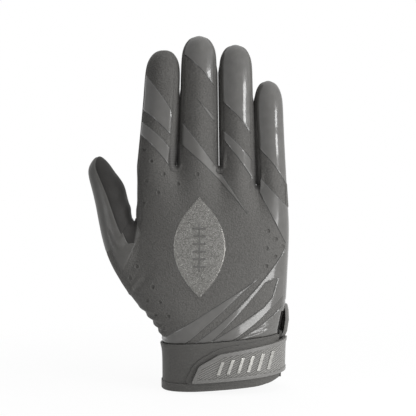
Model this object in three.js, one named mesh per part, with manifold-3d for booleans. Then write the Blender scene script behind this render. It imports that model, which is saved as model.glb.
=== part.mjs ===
// A right-hand football receiver's glove, filled as if worn. Millimetres, +Z up along the fingers,
// the back of the hand facing -Y and the thumb at -X. The origin is the middle of the wrist opening.
// One smooth hand skin is worked out from a control cage by subdivision. Every panel, film, cuff and
// strap layer is a stretch of that skin, thickened to its own wall and parted from its neighbours.
import * as THREE from "three";
import { mergeVertices } from "three/addons/utils/BufferGeometryUtils.js";
import Module from "manifold-3d";

const wasm = await Module();
wasm.setup();

// Walls and clearances
const WALL = 1.4; // panel: knit, foam and coating together
const SEAM_GAP = 0.35; // between neighbouring pieces
const FILM_WALL = 0.5; // moulded gloss films and the emblem
const CUFF_WALL = 1.9;
const HEM_WALL = 2.6; // rolled edge of the cuff
const PILE_WALL = 0.6; // hook patch and loop patch
const WEB_WALL = 1.5; // stretch webbing of the strap
const FRAME_WALL = 1.0; // moulded rim on the strap
const INLAY_WALL = 0.6;
const RIB_HEIGHT = 0.4; // grip ribs on the inlay

// Finger stalls from the thumb side to the little side. Half sizes are at the crotch, tapers are what
// they lose by the tip. The knuckle is above the higher crotch and the tip above the knuckle.
const FINGERS = [
  {
    name: "index", halfWidth: 12.7, widthTaper: 1.7, halfDepth: 10.6, depthTaper: 1.9,
    knuckle: 22.4, reach: 54,
  },
  {
    name: "middle", halfWidth: 13, widthTaper: 1.9, halfDepth: 11, depthTaper: 1.9,
    knuckle: 24.4, reach: 61,
  },
  {
    name: "ring", halfWidth: 11.3, widthTaper: 0.6, halfDepth: 10.6, depthTaper: 1.9,
    knuckle: 22.4, reach: 57.2,
  },
  {
    name: "little", halfWidth: 9.6, widthTaper: 0.3, halfDepth: 9.2, depthTaper: 1.4,
    knuckle: 18.4, reach: 50.5,
  },
];
const MIDDLE_X = -16.7; // root of the middle finger from the middle of the wrist
const MIDDLE_LEAN = 0.8; // sideways travel of its tip
const ROOT_GAP = 2.2; // between finger roots
const TIP_GAPS = [1.4, 2.2, 1.6]; // between neighbouring fingers at their tips
const INDEX_TURN = -18; // degrees that the index stall is turned about its own axis
const FINGER_BOW = 5; // how far the tips bow to the palm
const FINGER_PALMWARD = -0.5; // finger axes from the middle of the hand's depth
const CROTCH_STEPS = [-2, 0, 0, -13, -18]; // crotch heights from the thumb side, from the middle crotch
const CROTCH_RING = 4; // first ring above the crotch
const FLEX_HALF = 12; // half the length of a flex sleeve
const TIP_RINGS = [{ below: 20, size: 1.02 }, { below: 8.5, size: 1 }, { below: 1.8, size: 0.62 }];
const FINGER_SEAM = 31.5; // degrees from the side to the seam, seen along the finger

// Rows of the hand from the hem up. The step is the height above the row below at mid-width, the rise is
// from the thumb side to the little side, and the reaches are past the wrist or past the finger row.
const WRIST_THUMB_REACH = 39.4;
const WRIST_LITTLE_REACH = 36.9;
const ROWS = [
  { name: "hem edge", step: 0.8, rise: 6.4, wrist: true, thumb: 0, little: 0, back: 24, palm: 21.5 },
  { name: "hem seam", step: 2.5, rise: 6.4, wrist: true, thumb: 0, little: 0, back: 24, palm: 21.5 },
  { name: "cuff middle", step: 18.5, rise: 7, wrist: true, thumb: 0, little: 0.3, back: 23.5, palm: 21.5 },
  { name: "cuff top", step: 9.2, rise: 8, wrist: true, thumb: 0.6, little: 1, back: 22.8, palm: 21.2 },
  { name: "wrist", step: 12.5, rise: 3, thumb: -10.6, little: -2.2, back: 20.6, palm: 20.6 },
  { name: "thumb low", step: 12.5, rise: -4, thumb: 6.6, little: 0.8, back: 18.8, palm: 20.8 },
  { name: "thumb middle", step: 23, rise: -10, thumb: 2, little: 1.4, back: 17.4, palm: 18.8 },
  { name: "thumb crotch", step: 21.5, rise: -17, thumb: 1.6, little: 2.4, back: 16.6, palm: 16.6 },
  { name: "knuckles", step: 15.5, rise: -16, thumb: 1.2, little: 2.6, back: 15.6, palm: 14.6 },
];
const CROTCH_STEP = 29.6; // middle crotch above the knuckle row
const [HEM_SEAM_ROW, CUFF_TOP_ROW, THUMB_LOW_ROW, THUMB_WEB_ROW] = [
  "hem seam", "cuff top", "thumb low", "thumb crotch",
].map((label) => ROWS.findIndex(({ name }) => name === label));
const ARCH = 2.4; // power of the rounded hand section
const WEB_INSET = 0.05; // share of a finger's width from its edge to the column beside a web
const EDGE_INSET = 0.15; // and to the column beside an edge of the hand

// Thumb stall: rings from its root, outward from the thumb edge of the finger row and up from the thumb
// crotch. A ring leans outwards and is turned about the thumb's axis, both in degrees.
const THUMB_RINGS = [
  { out: 13.2, palmward: 6, up: -12.5, half: 14.3, depth: 12.8, lean: 46, turn: 15 },
  { out: 17.2, palmward: 8.5, up: 14, half: 11.2, depth: 11.4, lean: 14, turn: -6 },
  { out: 22.2, palmward: 11, up: 29, half: 10.8, depth: 10.8, lean: 14, turn: -14 },
  { out: 27.2, palmward: 12.8, up: 37, half: 7.4, depth: 7.8, lean: 16, turn: -15 },
];
const THUMB_TIP = { out: 27.2, palmward: 13.8, up: 42.3 };
const THUMB_SEAM = 45;

// Wrist strap, seen from the back of the hand
const STRAP_LIFT = 0.8; // above the seam of the hem
const STRAP_WIDTH = 16.3; // at the free end
const STRAP_FLARE = 3.5; // wider as far past the middle of the wrist on the little side
const STRAP_REACH = 20.5; // free end past the middle of the wrist
const TAB_BEVELS = [4.7, 11.3, 18]; // free end: run of the steep bevel, its height, and run of both bevels
const RIM = 2.2; // width of the moulded rim
const HOOK_REACH = 26; // hook patch from near the free end towards the little side
const PILE_MARGIN = 3; // hook patch in from the strap's edges
const LOOP_MARGIN = 2.2; // loop patch past the hook patch
const ROOT_WALL = 3; // sewn-down strap end, past the cuff
const ROOT_TOP = 17; // its height above the cuff
const ROOT_REACH = 16; // and its length along the palm
const RIBS = 6;
const RIB_PITCH = 6.5;
const RIB_WIDTH = 2;
const RIB_SLANT = 3.2; // sideways travel over a rib's height
const RIB_START = 16; // first rib from the free end
const RIB_END_MARGIN = 2.6; // rib ends in from the inlay's edges

// Emblem film: an upright pointed oval on the back of the hand
const EMBLEM = { x: -15.5, aboveCuff: 61, height: 66, width: 34 };

// Gloss bands across the fingers: how far their edges cross the finger's middle below the tip, and how far
// the edges drop for each millimetre towards the little side. A band with no top starts at the tip.
const FINGER_BANDS = [
  { finger: "index", name: "index_gloss_band", zone: "tip", top: 30.5, topDrop: 1.4, bottom: 51, drop: 0.92 },
  {
    finger: "index", name: "index_lower_band", zone: "root",
    top: 58.5, topDrop: 0.94, bottom: 69, drop: 1.07,
  },
  { finger: "middle", name: "middle_gloss_tip", zone: "tip", bottom: 26.5, drop: 1.14 },
  {
    finger: "middle", name: "middle_lower_band", zone: "root",
    top: 72.5, topDrop: 1.28, bottom: 82.5, drop: 0.82,
  },
  { finger: "ring", name: "ring_gloss_tip", zone: "tip", bottom: 51, drop: 1.16 },
  { finger: "ring", name: "ring_lower_band", zone: "root", top: 67.5, topDrop: 1.05, bottom: 77, drop: 1.37 },
  { finger: "little", name: "little_gloss_tip", zone: "tip", bottom: 58, drop: 1.24 },
];

// Gloss films on the hand: places across from the middle of the wrist and up from the cuff's top edge
const HAND_FILMS = [
  { name: "knuckle_slash", outline: [[15.6, 81.5], [9.1, 91.6], [-1, 104.5], [-4.6, 104.5]] },
  { name: "little_root_gloss", outline: [[24.5, 106.5], [23.8, 96.5], [32, 80.5], [45, 55], [45, 82]] },
  {
    name: "little_edge_gloss",
    outline: [[45, 62], [29.8, 41.7], [29.8, 37], [36, 39.3], [33.6, 27.4], [34.2, 22.8], [45, 34.5]],
  },
  { name: "wrist_slash_a", outline: [[-45, -3], [-27, -4], [2.9, 21.3], [22.5, 40.4], [-38.4, 1.5]] },
  {
    name: "wrist_slash_b",
    outline: [[-18, -4], [-8, -3], [8.9, 14.2], [29.3, 37.1], [29.3, 41], [8.5, 17.4]],
  },
  {
    name: "wrist_slash_c",
    outline: [[-5.2, -2.5], [4, -3.5], [20.8, 9.3], [33.3, 22.6], [32.6, 27.1], [15, 11.8]],
  },
  { name: "wrist_slash_d", outline: [[14, 0], [45, 0], [45, 28], [27.2, 9.9]] },
];

// Gloss flash on the thumb root, outward from the thumb edge of the finger row and up from the thumb crotch
const THUMB_FLASH = [
  { out: 18.5, up: -21.5 }, { out: 10.6, up: -36 }, { out: 2, up: -20 },
  { out: 2.4, up: -13 }, { out: 5.6, up: -15.2 }, { out: 17, up: -8 },
];

const UP = new THREE.Vector3(0, 0, 1);
const BACKWARD = new THREE.Vector3(0, -1, 0);
const RIGHT = new THREE.Vector3(1, 0, 0);
const radians = THREE.MathUtils.degToRad;
const lerp = THREE.MathUtils.lerp;

// Control cage. Its faces carry the part, the row and the side of the hand that they belong to.
const cage = { points: [], faces: [] };

function addPoints(points) {
  return points.map((point) => cage.points.push(point) - 1);
}

function addFace(corners, tag) {
  cage.faces.push({ corners, ...tag });
}

// A band of faces between two rings of equal length, counter-clockwise seen from the upper one
function addBand(lower, upper, tagOf) {
  lower.forEach((corner, i) => {
    const next = (i + 1) % lower.length;
    const tag = tagOf(i);
    if (tag) addFace([corner, lower[next], upper[next], upper[i]], tag);
  });
}

// Control points whose finished curve passes through the half sizes at the sides, crown and seams
function sectionRing(centre, halfWidth, halfDepth, seamDegrees, across, toBack) {
  const side = (12 - 6 * Math.cos(radians(seamDegrees))) / 7;
  const crown = (12 - 6 * Math.sin(radians(seamDegrees))) / 7;
  const seamX = 3 - 2 * side;
  const seamY = 3 - 2 * crown;
  const plan = [
    [-seamX, seamY], [0, crown], [seamX, seamY], [side, 0],
    [seamX, -seamY], [0, -crown], [-seamX, -seamY], [-side, 0],
  ];
  return plan.map(([u, v]) => centre.clone()
    .addScaledVector(across, u * halfWidth)
    .addScaledVector(toBack, v * halfDepth));
}

// Sides of a stall's faces, once round it
const FINGER_SIDES = ["back", "back", "little", "little", "palm", "palm", "thumb", "thumb"];
const THUMB_SIDES = ["outer", "inner", "inner", "inner", "inner", "outer", "outer", "outer"];

// Rings joined into a closed stall. The tip point is set so that the finished skin ends at the tip. The four
// faces that close it each span two columns of one side.
function addStall(part, rings, zones, tip, sides) {
  for (let k = 1; k < rings.length; k += 1) {
    addBand(rings[k - 1], rings[k], (column) => ({ part, zone: zones[k - 1], side: sides[column], column }));
  }
  const last = rings[rings.length - 1];
  const middle = new THREE.Vector3();
  last.forEach((corner) => middle.addScaledVector(cage.points[corner], 1 / last.length));
  const [pole] = addPoints([middle.clone().addScaledVector(tip.clone().sub(middle), 9 / 4)]);
  const start = sides[0] === sides[1] ? 0 : 1;
  for (let i = start; i < start + last.length; i += 2) {
    const corners = [i, i + 1, i + 2].map((n) => last[n % last.length]);
    addFace([...corners, pole], { part, zone: "tip", side: sides[i] });
  }
}

// Heights of the hand's rows, then of the crotches, knuckles and fingertips
let height = 0;
for (const row of ROWS) {
  height += row.step;
  row.z = height;
}
const crotchZ = CROTCH_STEPS.map((step) => height + CROTCH_STEP + step);

// Finger roots and tips are set out from the middle finger by their widths and the gaps between them
const [INDEX, MIDDLE, RING, LITTLE] = FINGERS;
Object.assign(MIDDLE, { rootX: MIDDLE_X, tipX: MIDDLE_X + MIDDLE_LEAN });
const tipHalf = (finger) => finger.halfWidth - finger.widthTaper;
for (const [near, far, way, gap] of [
  [MIDDLE, INDEX, -1, TIP_GAPS[0]], [MIDDLE, RING, 1, TIP_GAPS[1]], [RING, LITTLE, 1, TIP_GAPS[2]],
]) {
  far.rootX = near.rootX + way * (near.halfWidth + ROOT_GAP + far.halfWidth);
  far.tipX = near.tipX + way * (tipHalf(near) + gap + tipHalf(far));
}
FINGERS.forEach((finger, f) => {
  finger.crotchZ = [crotchZ[f], crotchZ[f + 1]];
  finger.knuckleZ = Math.max(...finger.crotchZ) + finger.knuckle;
  finger.tipZ = finger.knuckleZ + finger.reach;
  finger.turn = finger === INDEX ? radians(INDEX_TURN) : 0;
});
const thumbEdge = INDEX.rootX - INDEX.halfWidth;
const littleEdge = LITTLE.rootX + LITTLE.halfWidth;

function fingerCentre(finger, z) {
  const root = (finger.crotchZ[0] + finger.crotchZ[1]) / 2;
  const along = (z - root) / (finger.tipZ - root);
  const eased = along + along * (1 - along) / 2;
  const y = FINGER_PALMWARD + FINGER_BOW * along * along;
  return { along, point: new THREE.Vector3(lerp(finger.rootX, finger.tipX, eased), y, z) };
}

// A finger's ring at a height that may differ between its thumb side and its little side
function fingerRing(finger, zThumb, zLittle, size) {
  const { along, point } = fingerCentre(finger, (zThumb + zLittle) / 2);
  const halfWidth = size * (finger.halfWidth - finger.widthTaper * along);
  const halfDepth = size * (finger.halfDepth - finger.depthTaper * along);
  const across = RIGHT.clone().applyAxisAngle(UP, finger.turn);
  const toBack = BACKWARD.clone().applyAxisAngle(UP, finger.turn);
  const ring = sectionRing(point, halfWidth, halfDepth, FINGER_SEAM, across, toBack);
  for (const corner of ring) {
    corner.z += (zLittle - zThumb) / 2 * THREE.MathUtils.clamp((corner.x - point.x) / halfWidth, -1, 1);
  }
  return ring;
}

// Finger stalls, from their root rings up
for (const finger of FINGERS) {
  const [zThumb, zLittle] = finger.crotchZ;
  const flexLow = finger.knuckleZ - FLEX_HALF;
  const flexHigh = finger.knuckleZ + FLEX_HALF;
  const levels = [
    fingerRing(finger, zThumb, zLittle, 1),
    fingerRing(finger, zThumb + CROTCH_RING, zLittle + CROTCH_RING, 1),
    fingerRing(finger, flexLow, flexLow, 1),
    fingerRing(finger, flexHigh, flexHigh, 1),
    ...TIP_RINGS.map(({ below, size }) => fingerRing(finger, finger.tipZ - below, finger.tipZ - below, size)),
  ];
  const rings = levels.map(addPoints);
  finger.root = rings[0];
  const zones = ["root", "root", "flex", "tip", "tip", "tip"];
  addStall(finger.name, rings, zones, fingerCentre(finger, finger.tipZ).point, FINGER_SIDES);
}

// Webs between neighbouring fingers: the floors of the crotches
for (let f = 0; f < 3; f += 1) {
  const near = FINGERS[f].root;
  const far = FINGERS[f + 1].root;
  const tag = { part: "web", zone: f };
  addFace([near[2], far[0], far[7], near[3]], tag);
  addFace([near[3], far[7], far[6], near[4]], tag);
}

// Columns of a hand row, from the thumb edge (-1) to the little edge (1): three to a finger
const columns = FINGERS.flatMap((finger) => {
  const thumbInset = finger === INDEX ? EDGE_INSET : WEB_INSET;
  const littleInset = finger === LITTLE ? EDGE_INSET : WEB_INSET;
  const steps = [2 * thumbInset - 1, 0, 1 - 2 * littleInset];
  return steps.map((step) => finger.rootX + step * finger.halfWidth);
}).map((x) => 2 * (x - thumbEdge) / (littleEdge - thumbEdge) - 1);

const rowHeight = (row, across) => row.z + row.rise * across / 2;
const rowEnds = (row) => (row.wrist
  ? [-WRIST_THUMB_REACH - row.thumb, WRIST_LITTLE_REACH + row.little]
  : [thumbEdge - row.thumb, littleEdge + row.little]);

// A row runs along the back, round the little edge, back along the palm and ends on the thumb edge
function handRow(row) {
  const [left, right] = rowEnds(row);
  const place = (across, depth) => {
    const x = lerp(left, right, (across + 1) / 2);
    const arch = (1 - Math.abs(across) ** ARCH) ** (1 / ARCH);
    return new THREE.Vector3(x, depth * arch, rowHeight(row, across));
  };
  return addPoints([
    ...columns.map((across) => place(across, -row.back)),
    place(1, 0),
    ...columns.toReversed().map((across) => place(across, row.palm)),
    place(-1, 0),
  ]);
}

const LAST_COLUMN = columns.length - 1;
const LITTLE_EDGE = columns.length;
const THUMB_EDGE = 2 * columns.length + 1;

// The side of the hand that the face after a ring's corner lies on
function rowSide(i) {
  if (i < LAST_COLUMN) return "back";
  if (i === LAST_COLUMN) return "littleBack";
  if (i === LITTLE_EDGE) return "littlePalm";
  if (i < THUMB_EDGE - 1) return "palm";
  return i === THUMB_EDGE ? "thumbBack" : "thumbPalm";
}

// The top row is made of the fingers' root rings
const crownRow = [
  ...FINGERS.flatMap(({ root }) => [root[0], root[1], root[2]]),
  LITTLE.root[3],
  ...FINGERS.toReversed().flatMap(({ root }) => [root[4], root[5], root[6]]),
  INDEX.root[7],
];
const handRings = [...ROWS.map(handRow), crownRow];
for (let k = 1; k < handRings.length; k += 1) {
  const thumbHole = k > THUMB_LOW_ROW && k <= THUMB_WEB_ROW;
  addBand(handRings[k - 1], handRings[k], (i) => {
    const side = rowSide(i);
    return thumbHole && side.startsWith("thumb") ? null : { part: "hand", zone: k - 1, side };
  });
}

// Thumb stall, rooted in the hole that two rows leave at the thumb edge
const THUMB_BACK = 0;
const THUMB_PALM = THUMB_EDGE - 1;
const [holeLow, holeMid, holeHigh] = handRings.slice(THUMB_LOW_ROW, THUMB_WEB_ROW + 1);
const thumbBase = rowHeight(ROWS[THUMB_WEB_ROW], -1);
const thumbPlace = ({ out, palmward, up }) => new THREE.Vector3(thumbEdge - out, palmward, thumbBase + up);
const thumbLevels = THUMB_RINGS.map((ring) => {
  const lean = radians(ring.lean);
  const axis = new THREE.Vector3(-Math.sin(lean), 0, Math.cos(lean));
  const turn = radians(ring.turn);
  const inward = new THREE.Vector3(Math.cos(lean), 0, Math.sin(lean)).applyAxisAngle(axis, turn);
  const toBack = BACKWARD.clone().applyAxisAngle(axis, turn);
  return sectionRing(thumbPlace(ring), ring.half, ring.depth, THUMB_SEAM, inward, toBack);
});
const thumbRings = [
  [holeLow[THUMB_BACK], holeMid[THUMB_BACK], holeHigh[THUMB_BACK], holeHigh[THUMB_EDGE],
    holeHigh[THUMB_PALM], holeMid[THUMB_PALM], holeLow[THUMB_PALM], holeLow[THUMB_EDGE]],
  ...thumbLevels.map(addPoints),
];
addStall("thumb", thumbRings, ["root", "flex", "tip", "tip"], thumbPlace(THUMB_TIP), THUMB_SIDES);

// Neighbours of each point of a quad mesh: along edges, across faces, and along an open border
function neighbourhood(mesh) {
  const near = mesh.points.map(() => ({ edges: new Map(), faces: [], across: [] }));
  mesh.faces.forEach(({ corners }, k) => corners.forEach((a, i) => {
    const after = corners[(i + 1) % 4];
    const before = corners[(i + 3) % 4];
    near[a].faces.push(k);
    near[a].across.push(corners[(i + 2) % 4]);
    for (const b of [after, before]) near[a].edges.set(b, (near[a].edges.get(b) ?? 0) + 1);
  }));
  for (const entry of near) entry.border = [...entry.edges].filter(([, uses]) => uses === 1).map(([b]) => b);
  return near;
}

function mean(points) {
  const sum = new THREE.Vector3();
  for (const point of points) sum.add(point);
  return sum.divideScalar(points.length);
}

// One step of Catmull-Clark subdivision. New faces keep the tags of the face that they divide.
function subdivide(mesh) {
  const near = neighbourhood(mesh);
  const at = (index) => mesh.points[index];
  const centres = mesh.faces.map(({ corners }) => mean(corners.map(at)));
  const points = mesh.points.map((point, a) => {
    const { edges, faces, border } = near[a];
    if (border.length) return mean(border.map(at)).lerp(point, 3 / 4);
    const count = faces.length;
    const middles = mean([...edges.keys()].map((b) => at(b).clone().add(point).divideScalar(2)));
    const middle = mean(faces.map((k) => centres[k]));
    return middle.addScaledVector(middles, 2).addScaledVector(point, count - 3).divideScalar(count);
  });
  const centreOf = centres.map((centre) => points.push(centre) - 1);
  const edgeFaces = new Map();
  const key = (a, b) => `${Math.min(a, b)} ${Math.max(a, b)}`;
  mesh.faces.forEach(({ corners }, k) => corners.forEach((a, i) => {
    const name = key(a, corners[(i + 1) % 4]);
    edgeFaces.set(name, [...(edgeFaces.get(name) ?? []), k]);
  }));
  const edgeOf = new Map();
  for (const [name, faces] of edgeFaces) {
    const ends = name.split(" ").map((index) => at(Number(index)));
    const sides = faces.length === 2 ? faces.map((k) => centres[k]) : [];
    edgeOf.set(name, points.push(mean([...ends, ...sides])) - 1);
  }
  const faces = mesh.faces.flatMap(({ corners, ...tag }, k) => corners.map((a, i) => {
    const after = edgeOf.get(key(a, corners[(i + 1) % 4]));
    const before = edgeOf.get(key(a, corners[(i + 3) % 4]));
    return { corners: [a, after, centreOf[k], before], ...tag };
  }));
  return { points, faces };
}

// Points moved to where endless subdivision would take them, with the normals there
function smoothSkin(mesh) {
  const near = neighbourhood(mesh);
  const at = (index) => mesh.points[index];
  const points = mesh.points.map((point, a) => {
    const { edges, across, border } = near[a];
    if (border.length) return mean(border.map(at)).lerp(point, 2 / 3);
    const count = across.length;
    const sum = point.clone().multiplyScalar(count * count);
    for (const b of edges.keys()) sum.addScaledVector(at(b), 4);
    for (const b of across) sum.add(at(b));
    return sum.divideScalar(count * (count + 5));
  });
  const normals = points.map(() => new THREE.Vector3());
  for (const { corners } of mesh.faces) {
    const [a, b, c, d] = corners.map((index) => points[index]);
    const normal = c.clone().sub(a).cross(d.clone().sub(b));
    for (const index of corners) normals[index].add(normal);
  }
  for (const normal of normals) normal.normalize();
  return { points, faces: mesh.faces, normals };
}

// The hand's skin is fine. The wrist's is coarser, as the cuff and the strap are nearly straight tubes.
const handSkin = smoothSkin(subdivide(cage));
const wristSkin = smoothSkin(cage);

// A closed wall over a stretch of a skin, between two distances from it, clear of its neighbours
function layer(skin, pick, low, high) {
  const faces = skin.faces.filter(pick);
  const uses = new Map();
  for (const { corners } of faces) {
    corners.forEach((a, i) => uses.set(`${a} ${corners[(i + 1) % 4]}`, [a, corners[(i + 1) % 4]]));
  }
  const border = [...uses.values()].filter(([a, b]) => !uses.has(`${b} ${a}`));
  const inward = new Map();
  for (const [a, b] of border) {
    const along = skin.points[b].clone().sub(skin.points[a]).normalize();
    for (const end of [a, b]) {
      const way = skin.normals[end].clone().cross(along).normalize();
      inward.set(end, [...(inward.get(end) ?? []), way]);
    }
  }
  const order = new Map();
  const place = [];
  for (const { corners } of faces) {
    for (const corner of corners) {
      if (order.has(corner)) continue;
      order.set(corner, order.size);
      const point = skin.points[corner].clone();
      const ways = inward.get(corner);
      if (ways) {
        const way = mean(ways);
        point.addScaledVector(way, SEAM_GAP / 2 / Math.max(way.lengthSq(), 0.5));
      }
      place.push([point, skin.normals[corner]]);
    }
  }
  const count = place.length;
  const positions = [high, low].flatMap((offset) => place.flatMap(([point, normal]) => (
    point.clone().addScaledVector(normal, offset).toArray())));
  const index = [];
  for (const { corners } of faces) {
    const [a, b, c, d] = corners.map((corner) => order.get(corner));
    index.push(a, b, c, a, c, d);
    index.push(count + c, count + b, count + a, count + d, count + c, count + a);
  }
  for (const [from, to] of border) {
    const a = order.get(from);
    const b = order.get(to);
    index.push(b, a, count + a, b, count + a, count + b);
  }
  const geometry = new THREE.BufferGeometry();
  geometry.setAttribute("position", new THREE.Float32BufferAttribute(positions, 3));
  geometry.setIndex(index);
  return geometry;
}

function solidOf(geometry) {
  const bare = geometry.clone();
  bare.deleteAttribute("normal");
  bare.deleteAttribute("uv");
  const merged = mergeVertices(bare, 1e-4);
  return new wasm.Manifold(new wasm.Mesh({
    numProp: 3,
    vertProperties: new Float32Array(merged.attributes.position.array),
    triVerts: new Uint32Array(merged.index.array),
  }));
}

function geometryOf(solid) {
  const mesh = solid.getMesh();
  const geometry = new THREE.BufferGeometry();
  geometry.setAttribute("position", new THREE.BufferAttribute(mesh.vertProperties, 3));
  geometry.setIndex(new THREE.BufferAttribute(mesh.triVerts, 1));
  return geometry;
}

// An outline seen from the back of the hand, pushed right through it
const THROUGH = 80;
function prism(shape) {
  const depth = 2 * THROUGH;
  const geometry = new THREE.ExtrudeGeometry(shape, { depth, bevelEnabled: false, curveSegments: 10 });
  return solidOf(geometry.rotateX(Math.PI / 2).translate(0, THROUGH, 0));
}

function polygon(points) {
  return new THREE.Shape(points.map(([x, z]) => new THREE.Vector2(x, z)));
}

const glove = new THREE.Group();

function addPiece(name, geometry, { color, roughness, metalness = 0 }) {
  const piece = new THREE.Mesh(geometry, new THREE.MeshStandardMaterial({ color, roughness, metalness }));
  piece.name = name;
  glove.add(piece);
  return piece;
}

const MATTE_TEXTILE = { color: 0x62615f, roughness: 0.72 };
const GLOSS_FILM = { color: 0x6c6b69, roughness: 0.3 };
const GRIP_PALM = { color: 0x4a4948, roughness: 0.4 };
const SIDE_KNIT = { color: 0x3c3b3a, roughness: 0.8 };
const CUFF_KNIT = { color: 0x504f4e, roughness: 0.75 };
const STRAP_RUBBER = { color: 0x63625f, roughness: 0.45 };
const INLAY_RUBBER = { color: 0x6f6e6b, roughness: 0.55 };
const PILE = { color: 0x2e2e2e, roughness: 0.95 };
const SILVER_FLAKE = { color: 0xc9c8c4, roughness: 0.35, metalness: 0.6 };

// Sewn panels of the hand. Each takes in the finger roots up to the flex sleeves.
const inHand = ({ part, zone }) => part === "hand" && zone >= CUFF_TOP_ROW;
const inRoot = ({ part, zone }) => part !== "thumb" && zone === "root";
const belowThumb = ({ zone }) => zone < THUMB_LOW_ROW;
const isBack = (face) => face.side === "back" || (face.side === "thumbBack" && belowThumb(face));
const isPalm = (face) => face.side === "palm"
  || (["thumbPalm", "littlePalm"].includes(face.side) && belowThumb(face));
const panel = (pick) => layer(handSkin, pick, -WALL, 0);

const onBack = (face) => isBack(face) && (inHand(face) || inRoot(face));
addPiece("back_panel", panel(onBack), MATTE_TEXTILE);
addPiece("palm_panel", panel((face) => isPalm(face) && (inHand(face) || inRoot(face))), GRIP_PALM);
for (let f = 0; f < 3; f += 1) {
  const [near, far] = [FINGERS[f].name, FINGERS[f + 1].name];
  addPiece(`fourchette_${near}_${far}`, panel((face) => (face.part === "web" && face.zone === f)
    || (inRoot(face) && ((face.part === near && face.side === "little")
      || (face.part === far && face.side === "thumb")))), SIDE_KNIT);
}
const aboveThumb = ({ part, zone }) => part === "hand" && zone >= THUMB_WEB_ROW;
addPiece("index_edge_strip", panel((face) => (aboveThumb(face) && face.side.startsWith("thumb"))
  || (inRoot(face) && face.part === "index" && face.side === "thumb")), SIDE_KNIT);
addPiece("little_edge_strip", panel((face) => (inHand(face) && !belowThumb(face)
  && face.side.startsWith("little")) || (inRoot(face) && face.part === "little" && face.side === "little")),
SIDE_KNIT);

// Stalls past the finger and thumb roots
for (const { name } of FINGERS) {
  addPiece(`${name}_flex_sleeve`, panel((face) => face.part === name && face.zone === "flex"), MATTE_TEXTILE);
  for (const [side, finish] of [["back", MATTE_TEXTILE], ["palm", GRIP_PALM],
    ["thumb", SIDE_KNIT], ["little", SIDE_KNIT]]) {
    const label = side === "back" || side === "palm" ? side : `${side}_side`;
    const pick = (face) => face.part === name && face.zone === "tip" && face.side === side;
    addPiece(`${name}_${label}`, panel(pick), finish);
  }
}
addPiece("thumb_root", panel(({ part, zone }) => part === "thumb" && zone === "root"), MATTE_TEXTILE);
addPiece("thumb_flex_sleeve", panel(({ part, zone }) => part === "thumb" && zone === "flex"), MATTE_TEXTILE);
const inThumbTip = ({ part, zone }) => part === "thumb" && zone === "tip";
addPiece("thumb_back", panel((face) => inThumbTip(face) && face.side === "outer"), GLOSS_FILM);
addPiece("thumb_palm", panel((face) => inThumbTip(face) && face.side === "inner"), GRIP_PALM);

// Cuff: open between the back and the little edge, where the strap closes it
const inCuff = ({ part, zone, side }) => part === "hand" && zone < CUFF_TOP_ROW && side !== "littleBack";
const cuffTop = SEAM_GAP + CUFF_WALL;
const inBand = (face) => inCuff(face) && face.zone >= HEM_SEAM_ROW;
const inHem = (face) => inCuff(face) && face.zone < HEM_SEAM_ROW;
const cuffTube = solidOf(layer(wristSkin, inBand, SEAM_GAP, cuffTop));
addPiece("cuff_hem", layer(wristSkin, inHem, SEAM_GAP, SEAM_GAP + HEM_WALL), CUFF_KNIT);

// Height of a row on the finished skin, at a place across the wrist
function edgeHeight(k, x) {
  const [left, right] = rowEnds(ROWS[k]);
  const across = 2 * (x - left) / (right - left) - 1;
  const [below, here, above] = [k - 1, k, k + 1].map((n) => rowHeight(ROWS[n], across));
  return (below + 4 * here + above) / 6;
}

// Outline moved in by a margin, or out by a negative one. Its corners run counter-clockwise.
function insetOutline(corners, margin) {
  const points = corners.map(([x, z]) => new THREE.Vector2(x, z));
  return new THREE.Shape(points.map((point, i) => {
    const before = point.clone().sub(points.at(i - 1)).normalize();
    const after = points[(i + 1) % points.length].clone().sub(point).normalize();
    const way = new THREE.Vector2(-before.y - after.y, before.x + after.x);
    return point.clone().addScaledVector(way, margin / (1 + before.dot(after)));
  }));
}

// The strap's outline, with its bevelled free end, and that of the hook patch under it
const strapLow = (x) => edgeHeight(HEM_SEAM_ROW, x) + STRAP_LIFT;
const strapHigh = (x) => strapLow(x) + STRAP_WIDTH + STRAP_FLARE * (x + STRAP_REACH) / (2 * STRAP_REACH);
const [STEEP_RUN, STEEP_RISE, WHOLE_RUN] = TAB_BEVELS;
const strapOutline = (margin) => insetOutline([
  [-STRAP_REACH, strapLow(-STRAP_REACH)],
  [THROUGH, strapLow(THROUGH)],
  [THROUGH, strapHigh(THROUGH)],
  [WHOLE_RUN - STRAP_REACH, strapHigh(WHOLE_RUN - STRAP_REACH)],
  [STEEP_RUN - STRAP_REACH, strapLow(-STRAP_REACH) + STEEP_RISE],
], margin);
const hookStart = WHOLE_RUN / 2 - STRAP_REACH;
const hookEnd = hookStart + HOOK_REACH;
const patchOutline = (growth) => insetOutline([
  [hookStart, strapLow(hookStart) + PILE_MARGIN],
  [hookEnd, strapLow(hookEnd) + PILE_MARGIN],
  [hookEnd, strapHigh(hookEnd) - PILE_MARGIN],
  [hookStart + STEEP_RUN, strapHigh(hookStart) - 2 * PILE_MARGIN],
], -growth);
const overWrist = ({ part, zone, side }) => part === "hand" && zone < CUFF_TOP_ROW
  && (side === "back" || side === "littleBack");
const wristLayer = (low, high) => solidOf(layer(wristSkin, overWrist, low, high));

// The loop patch lies flush in a pocket of the cuff, and the hook patch flush in the webbing
const pocketFloor = cuffTop - PILE_WALL - SEAM_GAP;
const loopPocket = wristLayer(pocketFloor, cuffTop + SEAM_GAP)
  .intersect(prism(patchOutline(LOOP_MARGIN + SEAM_GAP)));
addPiece("cuff_band", geometryOf(cuffTube.subtract(loopPocket)), CUFF_KNIT);
const loopPatch = wristLayer(cuffTop - PILE_WALL, cuffTop).intersect(prism(patchOutline(LOOP_MARGIN)));
addPiece("loop_patch", geometryOf(loopPatch), PILE);

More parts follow.
